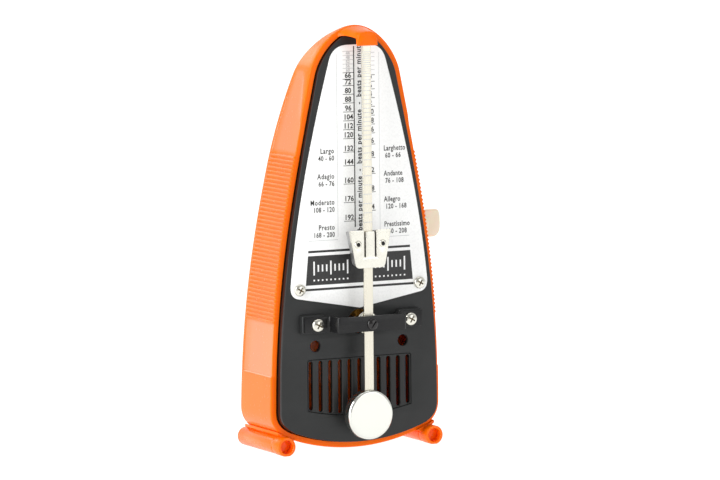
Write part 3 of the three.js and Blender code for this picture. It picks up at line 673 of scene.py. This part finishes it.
# scale plate and its printing
plateForm = {"tip": (0, 54), "foot": (25.5, 58.6), "cornerPull": (29.1, 59.2), "heel": (28.6, 64),
             "sidePull": (25, 99.8), "neck": (11.8, 147), "topPull": (10.2, 152.8), "top": (4, 152.8)}


def plateOutline():
    f = plateForm
    right = [f["tip"]]
    right += [tuple(bezier([f["foot"], f["cornerPull"], f["heel"]], i / 10)) for i in range(11)]
    right += [tuple(bezier([f["heel"], f["sidePull"], f["neck"]], i / 24)) for i in range(1, 25)]
    right += [tuple(bezier([f["neck"], f["topPull"], f["top"]], i / 12)) for i in range(1, 13)]
    return mirrored(right)


def buildPlate():
    low, high = nodeSpan("scale_plate")
    bm = bmesh.new()
    addPlate(bm, [plateOutline()], low.y, high.y, 0.08)
    finishPiece(bm, "scalePlate", whiteLacquer, "root", ["scale_plate"])
    return low.y


plateFace = buildPlate()
inkThick = 0.02


def addBar(bm, x0, x1, z0, z1, y=None):
    front = plateFace if y is None else y
    addBox(bm, (x0, front - inkThick, z0), (x1, front + 0.01, z1))


def addText(bm, text, x, z, size, align="CENTER", bold=0.0, spacing=1.0, squeeze=1.0, turned=False, y=None):
    curve = bpy.data.curves.new("words", "FONT")
    curve.body = text
    curve.size = size
    curve.align_x = align
    curve.align_y = "CENTER"
    curve.space_character = spacing
    curve.offset = bold
    curve.extrude = inkThick / 2
    curve.resolution_u = 2
    front = plateFace if y is None else y
    place = Matrix.Translation((x, front - inkThick / 2, z)) @ Matrix.Rotation(math.pi / 2, 4, "X")
    if turned:
        place = place @ Matrix.Rotation(math.pi / 2, 4, "Z")
    addCurve(bm, curve, place @ Matrix.Diagonal((squeeze, 1, 1, 1)))


scaleForm = {
    "left": [40, 44, 48, 52, 56, 60, 66, 72, 80, 88, 96, 104, 112, 120, 132, 144, 160, 176, 192],
    "right": [42, 46, 50, 54, 58, 63, 69, 76, 84, 92, 100, 108, 116, 126, 138, 152, 168, 184, 208],
    "leftTick": (-6.3, -1.65), "rightTick": (1.5, 7.1), "tickHalf": 0.11, "highest": 150,
    "leftNumber": -4.1, "rightNumber": 4.6, "numberSize": 2.75, "smallSize": 1.7,
    "lineX": 8.85, "lineLow": 81.2, "lineHigh": 149.6, "slowX": -10.2, "fastX": 10.6,
    "wordSize": 2.75, "rangeSize": 2.6, "rangeDrop": 2.75,
    "bars": [(21.4, 75.65, 76.5), (22.8, 61.45, 62.3)],  # half width, low, high
    "block": [(-22.5, 63.5), (22.5, 63.5), (21.5, 74.5), (-21.5, 74.5)],
    "words": [(113.4, "Largo", "40 - 60", "Larghetto", "60 - 66"),
              (103.9, "Adagio", "66 - 76", "Andante", "76 - 108"),
              (94.2, "Moderato", "108 - 120", "Allegro", "120 - 168"),
              (84.8, "Presto", "168 - 200", "Prestissimo", "200 - 208")],
}
stripForm = {"half": 1.55, "low": 84.5, "high": 152.3, "x": 0.45, "middle": 118.3, "size": 2.85,
             "text": "beats per minute  -  beats per minute  -  beats per minute"}
strokeForm = {"count": 9, "first": 5.0, "pitch": 1.75, "half": 0.3, "z": 69.8, "tall": 2.6, "short": 1.3,
              "dots": (65.0, 65.6)}


def tickHeight(beats):  # where the weight's top edge stands for that many beats a minute
    slower = 192 - beats
    return 86.8 + 0.44 * slower - 0.000143 * slower ** 2


def printScale(dark, grey):
    f = scaleForm
    for side in ("left", "right"):
        for beats in f[side]:
            z = tickHeight(beats)
            start, end = f[side + "Tick"]
            addBar(dark if beats >= 60 else grey, start, end, z - f["tickHalf"], z + f["tickHalf"])
            if z > f["highest"]:
                continue
            size = f["numberSize"] if beats >= 66 else f["smallSize"]
            addText(dark if beats >= 66 else grey, str(beats), f[side + "Number"], z + size * 0.48, size,
                    bold=0.07, squeeze=0.98)


def printWords(dark):
    f = scaleForm
    for z, slowWord, slowRange, fastWord, fastRange in f["words"]:
        under = z - f["rangeDrop"]
        addText(dark, slowWord, f["slowX"], z, f["wordSize"], "RIGHT", 0.06, 1.16, 0.8)
        addText(dark, slowRange, f["slowX"], under, f["rangeSize"], "RIGHT", 0.06, 1.1, 0.8)
        addText(dark, fastWord, f["fastX"], z, f["wordSize"], "LEFT", 0.06, 1.08, 0.78)
        addText(dark, fastRange, f["fastX"] + 0.6, under, f["rangeSize"], "LEFT", 0.06, 1.1, 0.8)


def printStrip():  # the band behind the rod, and the words down it
    band = bmesh.new()
    addBar(band, -stripForm["half"], stripForm["half"], stripForm["low"], stripForm["high"])
    finishPiece(band, "scaleStrip", paleInk, "root")
    words = bmesh.new()
    addText(words, stripForm["text"], stripForm["x"], stripForm["middle"], stripForm["size"], "CENTER",
            0.08, 1.12, 0.92, True, plateFace - inkThick)
    finishPiece(words, "stripWords", blackInk, "root")


def printStrokes():  # a plain row of beat strokes on the black block, tall on each first beat
    f = strokeForm
    strokes = bmesh.new()
    for s in (-1, 1):
        for i in range(f["count"]):
            x = s * (f["first"] + i * f["pitch"])
            tall = f["tall"] if i % 4 == 0 else f["short"]
            addBar(strokes, x - f["half"], x + f["half"], f["z"] - tall, f["z"] + tall, plateFace - inkThick)
            addBar(strokes, x - f["half"], x + f["half"], *f["dots"], plateFace - inkThick)
    finishPiece(strokes, "beatStrokes", whiteLacquer, "root")


def buildPrint():
    dark = bmesh.new()
    grey = bmesh.new()
    printScale(dark, grey)
    for s in (-1, 1):
        x = s * scaleForm["lineX"]
        addBar(grey, x - 0.09, x + 0.09, scaleForm["lineLow"], scaleForm["lineHigh"])
        addBar(grey, min(x, s * 21.2), max(x, s * 21.2), 80.02, 80.2)
        for wide, low, high in scaleForm["bars"]:
            addBar(dark, min(0, s * wide), max(0, s * wide), low, high)
    addPlate(dark, [scaleForm["block"]], plateFace - inkThick, plateFace + 0.01)
    printWords(dark)
    half, low, high = stripForm["half"], stripForm["low"], stripForm["high"]
    # painted shade: the black bar down the strip's left edge stands in for the dark shade beside the rod
    addBar(dark, -half - 0.3, -half + 0.15, low, high)
    addBar(grey, half, half + 0.14, low, high)
    finishPiece(dark, "scalePrintAndShade", blackInk, "root")
    finishPiece(grey, "scaleRules", greyInk, "root")
    printStrip()
    printStrokes()


buildPrint()
print("scale printed")


# fasteners
screwForm = {"domeShare": 0.62, "shank": 1.0, "crossShare": 0.56, "crossHalf": 0.27, "crossDeep": 0.85, "turn": 0.5}


def dome(radius, high, front, step):  # half of a domed head, from its middle out
    angles = [math.radians(a) for a in range(0, 91, step)]
    return [(radius * math.sin(a), front + high * (1 - math.cos(a))) for a in angles]


def turnedAbout(x, z, angle):
    return Matrix.Translation((x, 0, z)) @ Matrix.Rotation(angle, 4, "Y") @ Matrix.Translation((-x, 0, -z))


def buildScrew(name, node, radius, headHigh):
    low, high = nodeSpan(node)
    x, z, front = (low.x + high.x) / 2, (low.z + high.z) / 2, low.y
    shank, deep, half = screwForm["shank"], screwForm["crossDeep"], screwForm["crossHalf"]
    profile = dome(radius, headHigh * screwForm["domeShare"], front, 10)
    profile += [(radius, front + headHigh - 0.12), (radius - 0.12, front + headHigh),
                (shank, front + headHigh), (shank, high.y), (0, high.y)]
    bm = bmesh.new()
    addTurned(bm, profile, (x, 0, z), "y", 48)
    cutter = bmesh.new()
    arm = radius * screwForm["crossShare"]
    for wide, tall in ((arm, half), (half, arm)):
        addBox(cutter, (x - wide, front - 1, z - tall), (x + wide, front + deep, z + tall), 0.08, 1)
    turned = turnedAbout(x, z, screwForm["turn"])
    bmesh.ops.transform(cutter, matrix=turned, verts=cutter.verts)
    finishPiece(carved(bm, cutter), name, nickel, "root", [node], 30)
    # painted shade: a dark metal floor in the cross stands in for the shade deep in the recess
    floor = bmesh.new()  # the darker bottom of the cross
    for wide, tall in ((arm - 0.1, 0.24), (0.24, arm - 0.1)):
        addBox(floor, (x - wide, front + 0.62, z - tall), (x + wide, front + 0.9, z + tall), 0.04, 1)
    bmesh.ops.transform(floor, matrix=turned, verts=floor.verts)
    finishPiece(floor, name + "CrossShade", paintedCrossShade, "root")


for side in ("left", "right"):
    buildScrew(side + "PlateScrew", side + "_plate_screw", 2.25, 1.45)
    buildScrew(side + "BracketScrew", side + "_bracket_screw", 2.45, 1.85)


bracketForm = {"strap": 1.2, "step": 14.4, "foot": -3.8, "bend": 1.1, "edge": 0.16}
pivotScrewForm = {"dome": 1.0, "shank": 1.1, "slotHalf": 0.3, "slotDeep": 0.5, "turn": 0.6}


def buildBracket():
    low, high = nodeSpan("pivot_bracket")
    step, foot, bend = bracketForm["step"], bracketForm["foot"], bracketForm["bend"]
    front, end = low.y, high.x
    # half of the strap's outer face in plan: from the toe, round two bends, to the middle of the bar
    half = [(end, foot), (step + bend, foot)]
    half += arc(step + bend, foot - bend, bend, 90, 180, 6)[1:]
    half += arc(step - bend, front + bend, bend, 0, -90, 6)
    half += [(0, front)]
    path = half + [(-x, y) for x, y in reversed(half[:-1])]
    bm = bmesh.new()
    points = [bm.verts.new((x, y, low.z)) for x, y in path]
    edges = [bm.edges.new(pair) for pair in zip(points, points[1:])]
    made = bmesh.ops.extrude_edge_only(bm, edges=edges)["geom"]
    bmesh.ops.translate(bm, verts=[g for g in made if isinstance(g, bmesh.types.BMVert)],
                        vec=(0, 0, high.z - low.z))
    bmesh.ops.recalc_face_normals(bm, faces=bm.faces)
    if sum(f.normal.y * f.calc_area() for f in bm.faces) > 0:
        bmesh.ops.reverse_faces(bm, faces=bm.faces)
    bmesh.ops.solidify(bm, geom=bm.faces, thickness=bracketForm["strap"])
    bmesh.ops.recalc_face_normals(bm, faces=bm.faces)
    rims = [e for e in bm.edges if e.calc_face_angle(0) > 1.2]
    bmesh.ops.bevel(bm, geom=rims, offset=bracketForm["edge"], offset_type="OFFSET", affect="EDGES",
                    segments=2, profile=0.5, material=-1)
    finishPiece(bm, "pivotStrap", blackSteelAndShade, "root", ["pivot_bracket"])


def buildPivotScrew():
    low, high = nodeSpan("pivot_screw")
    f = pivotScrewForm
    radius, shank, half = (high.x - low.x) / 2, f["shank"], f["slotHalf"]
    seat = nodeSpan("pivot_bracket")[0].y
    profile = dome(radius, f["dome"], low.y, 9) + [(radius, seat), (shank, seat), (shank, high.y), (0, high.y)]
    bm = bmesh.new()
    addTurned(bm, profile, (0, 0, pivotZ), "y", 48)
    cutter = bmesh.new()
    addBox(cutter, (-half, low.y - 1, pivotZ - 3), (half, low.y + f["slotDeep"], pivotZ + 3))
    bmesh.ops.transform(cutter, matrix=turnedAbout(0, pivotZ, f["turn"]), verts=cutter.verts)
    finishPiece(carved(bm, cutter), "pivotScrew", glossBlack, "root", ["pivot_screw"], 30)


buildBracket()
buildPivotScrew()
print("bracket and screws built")


# pendulum
rodForm = {"half": 1.85, "eye": 2.9, "bore": 1.5, "corner": 0.7, "foot": 0.4, "edge": 0.07, "markHalf": 0.13}
bobForm = {"shoulder": 1.1, "slotHalf": 2.1, "slotFront": -8.15, "slotBack": -7.05, "below": 1.8, "above": 12}


def buildRod():
    low, high = nodeSpan("pendulum_rod")
    half, eye, corner, foot = rodForm["half"], rodForm["eye"], rodForm["corner"], low.z + rodForm["foot"]
    rise = math.sqrt(eye ** 2 - half ** 2)
    tilt = math.degrees(math.asin(rise / eye))
    tip = [(half, high.z - corner), (half - corner, high.z)]
    outline = [(half, foot), (half, pivotZ - rise)] + arc(0, pivotZ, eye, -tilt, tilt, 12)
    outline += tip + [(-x, z) for x, z in reversed(tip)]
    outline += arc(0, pivotZ, eye, 180 - tilt, 180 + tilt, 12) + [(-half, foot)]
    bm = bmesh.new()
    addPlate(bm, [outline, circle(0, pivotZ, rodForm["bore"], 32)], low.y, high.y, rodForm["edge"])
    finishPiece(bm, "pendulumRod", rodSteel, "pendulum", ["pendulum_rod"])
    marks = bmesh.new()
    for beats in scaleForm["left"] + scaleForm["right"]:
        z, tall = tickHeight(beats), rodForm["markHalf"]
        addBox(marks, (-half + 0.1, low.y - 0.012, z - tall), (half - 0.1, low.y + 0.02, z + tall))
    finishPiece(marks, "rodMarks", greyInk, "pendulum")


def buildHub():
    low, high = nodeSpan("pendulum_hub")
    profile = [(1.5, low.y), (3.9, low.y), (4.2, low.y + 0.12), (4.3, low.y + 0.3), (4.3, low.y + 1.0),
               (4.15, low.y + 1.2), (2.8, low.y + 1.3), (2.6, low.y + 1.5), (2.6, high.y - 0.2),
               (2.4, high.y), (1.5, high.y)]
    bm = bmesh.new()
    addTurned(bm, profile, (0, 0, pivotZ), "y", 56, True)
    finishPiece(bm, "pendulumHub", nickel, "pendulum", ["pendulum_hub"])


def buildBob():
    low, high = nodeSpan("pendulum_bob")
    r, z, turn = (high.x - low.x) / 2, (low.z + high.z) / 2, bobForm["shoulder"]
    shoulder = [(r - turn + x, y) for x, y in dome(turn, turn, low.y, 9)]
    profile = [(0, low.y)] + shoulder
    profile += [(r, high.y - 0.5), (r - 0.15, high.y - 0.15), (r - 0.5, high.y), (0, high.y)]
    bm = bmesh.new()
    addTurned(bm, profile, (0, 0, z), "y", 128)
    cutter = bmesh.new()  # the slot that the rod sits in
    addBox(cutter, (-bobForm["slotHalf"], bobForm["slotFront"], z - bobForm["below"]),
           (bobForm["slotHalf"], bobForm["slotBack"], z + bobForm["above"]))
    polish = makeTurnedMetal("polishedBob", (0.755, 0.76, 0.705), 0.17, (0, 0, z))
    finishPiece(carved(bm, cutter), "pendulumBob", polish, "pendulum", ["pendulum_bob"], 30)


def buildBobPin():
    low, high = nodeSpan("bob_pin")
    z = (low.z + high.z) / 2
    bm = bmesh.new()
    addTurned(bm, [(0, high.y - 0.9), (1.8, high.y - 0.62), (1.72, high.y - 0.35), (1.2, high.y - 0.08),
                   (0, high.y)], (0, 0, z), "y", 40)
    addTurned(bm, [(0, low.y), (1, low.y), (1, high.y - 0.6), (0, high.y - 0.6)], (0, 0, z), "y", 32)
    finishPiece(bm, "bobPin", nickel, "pendulum", ["bob_pin"])


buildRod()
buildHub()
buildBob()
buildBobPin()
print("pendulum built")

# sliding weight
weightForm = {
    "halfTop": 8.65, "halfLow": 6.0, "corner": 1.7, "slitX": 2.2, "slitHalf": 0.36, "slitLow": 73.9,
    "rivetX": 5.15, "rivetZ": 78.8, "rivetHole": 1.15,
    "springSlot": ((-2.9, -9.2, 73.9), (2.9, -6.3, 95)), "rodSlot": ((-2.15, -8.2, 60), (2.15, -6.3, 80)),
    "gripX": 9, "gripHalf": 2.6, "gripLow": 75.4, "gripHigh": 77.4,
}


def weightOutline(inset, slits):
    low, high = nodeSpan("weight_plate")
    z0, z1 = low.z + inset, high.z - inset
    top, foot, c = weightForm["halfTop"] - inset, weightForm["halfLow"] - inset, weightForm["corner"]
    lean = (top - foot) / (z1 - z0)
    right = [(0, z0), (foot - c, z0)]
    right += [tuple(bezier([(foot - c, z0), (foot, z0), (foot + lean * c, z0 + c)], i / 8)) for i in range(1, 9)]
    right += [(top, z1 - 0.3), (top - 0.3, z1)]
    if slits:
        x, w, zs = weightForm["slitX"], weightForm["slitHalf"], weightForm["slitLow"]
        right += [(x + w + 0.25, z1), (x + w, z1 - 0.25), (x + w, zs + w)]
        right += arc(x, zs + w, w, 0, -180, 8)[1:]
        right += [(x - w, z1 - 0.9), (x - w - 0.3, z1 - 0.55), (0, z1 - 0.5)]
    else:
        right += [(0, z1)]
    return mirrored(right)


def buildWeight():
    low, high = nodeSpan("weight_plate")
    bm = bmesh.new()
    f = weightForm
    rivetX, rivetZ = f["rivetX"], f["rivetZ"]
    holes = [circle(s * rivetX, rivetZ, f["rivetHole"], 28) for s in (-1, 1)]
    addPlate(bm, [weightOutline(0, True)] + holes, low.y, high.y, 0.1)
    finishPiece(bm, "weightPlate", nickel, "weight", ["weight_plate"])

    blockLow, blockHigh = nodeSpan("weight_block")
    body = bmesh.new()
    addPlate(body, [weightOutline(0.5, False)], blockLow.y, blockHigh.y, 0.35, 3)
    cutter = bmesh.new()
    addBox(cutter, *f["springSlot"])
    addBox(cutter, *f["rodSlot"])
    for x in (-f["gripX"], f["gripX"]):
        addBox(cutter, (x - f["gripHalf"], -12, f["gripLow"]), (x + f["gripHalf"], 0, f["gripHigh"]), 0.3)
    finishPiece(carved(body, cutter), "weightBlock", greyAlloy, "weight", ["weight_block"], 30)

    for side, s in (("left", -1), ("right", 1)):
        rivetLow, rivetHigh = nodeSpan(side + "_weight_rivet")
        front, back = rivetLow.y, rivetHigh.y
        profile = [(0, front + 0.75), (0.62, front + 0.7), (0.72, front + 0.5), (0.76, front + 0.12),
                   (0.95, front), (1.2, front + 0.04), (1.4, front + 0.2), (1.45, front + 0.38), (1.0, front + 0.4),
                   (1.0, back - 0.3), (1.25, back - 0.28), (1.1, back), (0, back)]
        rivet = bmesh.new()
        addTurned(rivet, profile, (s * rivetX, 0, rivetZ), "y", 40)
        finishPiece(rivet, side + "WeightRivet", nickel, "weight", [side + "_weight_rivet"], 40)
        # painted shade: a black plug in the rivet's hollow head stands in for the shade in its bore
        bore = bmesh.new()
        addTurned(bore, [(0, front + 0.5), (0.62, front + 0.45), (0.74, front + 0.2), (0.78, front + 0.24),
                         (0.74, front + 0.7), (0, front + 0.78)], (s * rivetX, 0, rivetZ), "y", 32)
        finishPiece(bore, side + "RivetBoreShade", blackSteelAndShade, "weight")


buildWeight()


# pendulum catch at the apex
hoodForm = [  # depth y, half width, top, underside: from the arch of the case down to the tongue's front
    (1.6, 7.6, 159.7, 157.9), (0.4, 6.4, 159.5, 157.8), (-1.2, 5.4, 159.2, 157.4), (-3.0, 4.8, 158.85, 157.0),
    (-5.5, 4.4, 158.5, 156.6), (-8.0, 4.25, 158.15, 156.2), (-8.22, 4.25, 158.1, 152.9),
    (-8.4, 4.25, 158.05, 152.75), (-8.95, 4.2, 157.85, 152.75), (-9.2, 3.95, 157.3, 153.0),
]
hoodArch = 0.04


def buildCatch():
    rings = []
    half = 24
    for y, width, top, under in hoodForm:
        bow = hoodArch if under > 155 else 0.0  # the tongue hangs straight, the hood follows the case's arch
        ring = []
        for i in range(half + 1):
            x = width * math.cos(math.pi * i / half)
            base, crown = under - bow * x ** 2, top - hoodArch * x ** 2
            ring.append(Vector((x, y, base + (crown - base) * (1 - abs(x / width) ** 8) ** 0.5)))
        for i in range(half + 1):
            x = -width * math.cos(math.pi * i / half)
            ring.append(Vector((x, y, under - bow * x ** 2)))
        rings.append(ring)
    ends = [[Vector((0, ring[0].y, 156.4))] * len(ring) for ring in (rings[0], rings[-1])]
    bm = bmesh.new()
    addLoft(bm, [ends[0]] + rings + [ends[1]])
    finishPiece(bm, "pendulumCatch", orangePlastic, "root", ["pendulum_catch"], 50)


buildCatch()


# winding key
keyForm = {"wingX": 34.9, "shoulder": 0.8, "thick": 3.2, "round": 0.7, "bore": 1.9, "stem": 3.2}


def buildKey():
    low, high = nodeSpan("winding_key")
    y, z = (low.y + high.y) / 2, (low.z + high.z) / 2
    half, end = (high.z - low.z) / 2, high.x
    f = keyForm
    wingX, shoulder, bore, stemR = f["wingX"], f["shoulder"], f["bore"], f["stem"]
    wing = [(wingX, z - half + shoulder), (wingX + shoulder, z - half)]
    wing += [tuple(bezier([(end - 3.6, z - half), (end, z - half), (end, z - 0.6)], i / 12)) for i in range(13)]
    wing += [tuple(bezier([(end, z + 1.2), (end, z + half), (end - 1.6, z + half)], i / 12)) for i in range(13)]
    wing += [(wingX + shoulder, z + half), (wingX, z + half - shoulder)]
    bm = bmesh.new()
    addPlate(bm, [wing], y - f["thick"] / 2, y + f["thick"] / 2, f["round"], 4)
    start = low.x
    stem = [(bore, start), (stemR - 0.2, start), (stemR, start + 0.2), (stemR, 35.6), (stemR - 0.15, 36.0),
            (2.6, 36.3), (bore, 36.3)]
    addTurned(bm, stem, (0, y, z), "x", 56, True)
    finishPiece(bm, "windingKey", ivoryPlastic, "key", ["winding_key"], 40)


buildKey()
print("weight, catch and key built")

# the hidden movement keeps its shapes and takes its finishes
finishes = {"brass": brass, "bright_steel": rodSteel, "spring_steel": springSteel, "nickel": nickel}
for entry in frame["record"]["subparts"]:
    node = frame["nodes"][entry["node"]]
    if entry["material_slot"] in finishes:
        node.data.materials.clear()
        node.data.materials.append(finishes[entry["material_slot"]])

# floor, lights and camera
stageLook = {"floor": 4.0, "floorColor": (0.2, 0.2, 0.2), "floorGlow": 1.0, "front": 0.4, "behind": 1.0}
cameraForm = {"lens": 230.98, "azimuth": -27.0, "elevation": 5.93, "roll": -0.55, "far": 1730.2,
              "aim": (0, 0, 80), "shift": (0.0021, -0.0022)}
lightForm = {  # place, size and power of each soft box
    "leftBox": ((-1000, -250, 450), (700, 900), 11), "frontBox": ((700, -1300, 480), (900, 800), 3.2),
    "topBox": ((0, 100, 1100), (900, 900), 3), "backStrip": ((-150, 1190, 590), (900, 220), 1.2),
}


def makeStage():
    bm = bmesh.new()
    bmesh.ops.create_grid(bm, x_segments=2, y_segments=2, size=stageLook["floor"])
    mesh = bpy.data.meshes.new("floor")
    bm.to_mesh(mesh)
    bm.free()
    floor = bpy.data.objects.new("floor", mesh)
    scene.collection.objects.link(floor)
    material, tree, shader = startMaterial("paleFloor", stageLook["floorColor"], 0.6)
    shader.inputs["Emission Color"].default_value = (1, 1, 1, 1)
    shader.inputs["Emission Strength"].default_value = stageLook["floorGlow"]
    mesh.materials.append(material)
    world = bpy.data.worlds.new("studio")
    scene.world = world
    world.use_nodes = True
    tree = world.node_tree
    background = next(n for n in tree.nodes if n.type == "BACKGROUND")
    background.inputs["Color"].default_value = (1, 1, 1, 1)
    coords = tree.nodes.new("ShaderNodeTexCoord")
    facing = tree.nodes.new("ShaderNodeVectorMath")
    facing.operation = "DOT_PRODUCT"
    facing.inputs[1].default_value = (0.454, 0.891, 0.0)
    fade = tree.nodes.new("ShaderNodeMapRange")
    fade.inputs["From Min"].default_value = -0.3
    fade.inputs["From Max"].default_value = 0.6
    fade.inputs["To Min"].default_value = stageLook["front"]
    fade.inputs["To Max"].default_value = stageLook["behind"]
    tree.links.new(coords.outputs["Generated"], facing.inputs[0])
    tree.links.new(facing.outputs["Value"], fade.inputs["Value"])
    tree.links.new(fade.outputs["Result"], background.inputs["Strength"])


def addLight(name, place, size, power, aim=(0, 10, 80)):
    light = bpy.data.lights.new(name, "AREA")
    light.shape = "RECTANGLE"
    light.size, light.size_y = size[0] * mm, size[1] * mm
    light.energy = power
    holder = bpy.data.objects.new(name, light)
    scene.collection.objects.link(holder)
    spot = toRow @ Vector(place)
    holder.location = spot
    holder.rotation_euler = (toRow @ Vector(aim) - spot).to_track_quat("-Z", "Y").to_euler()


def makeCamera():
    azimuth, elevation = math.radians(cameraForm["azimuth"]), math.radians(cameraForm["elevation"])
    look = Vector((-math.sin(azimuth) * math.cos(elevation), math.cos(azimuth) * math.cos(elevation),
                   -math.sin(elevation)))
    right = Vector((math.cos(azimuth), math.sin(azimuth), 0))
    up = right.cross(look)
    turn = Matrix((right, up, -look)).transposed() @ Matrix.Rotation(math.radians(cameraForm["roll"]), 3, "Z")
    camera = bpy.data.objects.new("camera", bpy.data.cameras.new("camera"))
    scene.collection.objects.link(camera)
    place = toRow @ (Vector(cameraForm["aim"]) - look * cameraForm["far"])
    camera.matrix_world = Matrix.Translation(place) @ turn.to_4x4()
    camera.data.lens = cameraForm["lens"]
    camera.data.shift_x, camera.data.shift_y = cameraForm["shift"]
    camera.data.clip_end = 20
    scene.camera = camera


makeStage()
for lightName, (lightPlace, lightSize, lightPower) in lightForm.items():
    addLight(lightName, lightPlace, lightSize, lightPower)
makeCamera()
scene.view_settings.view_transform = "Standard"
print("stage set")

bpy.context.view_layer.update()
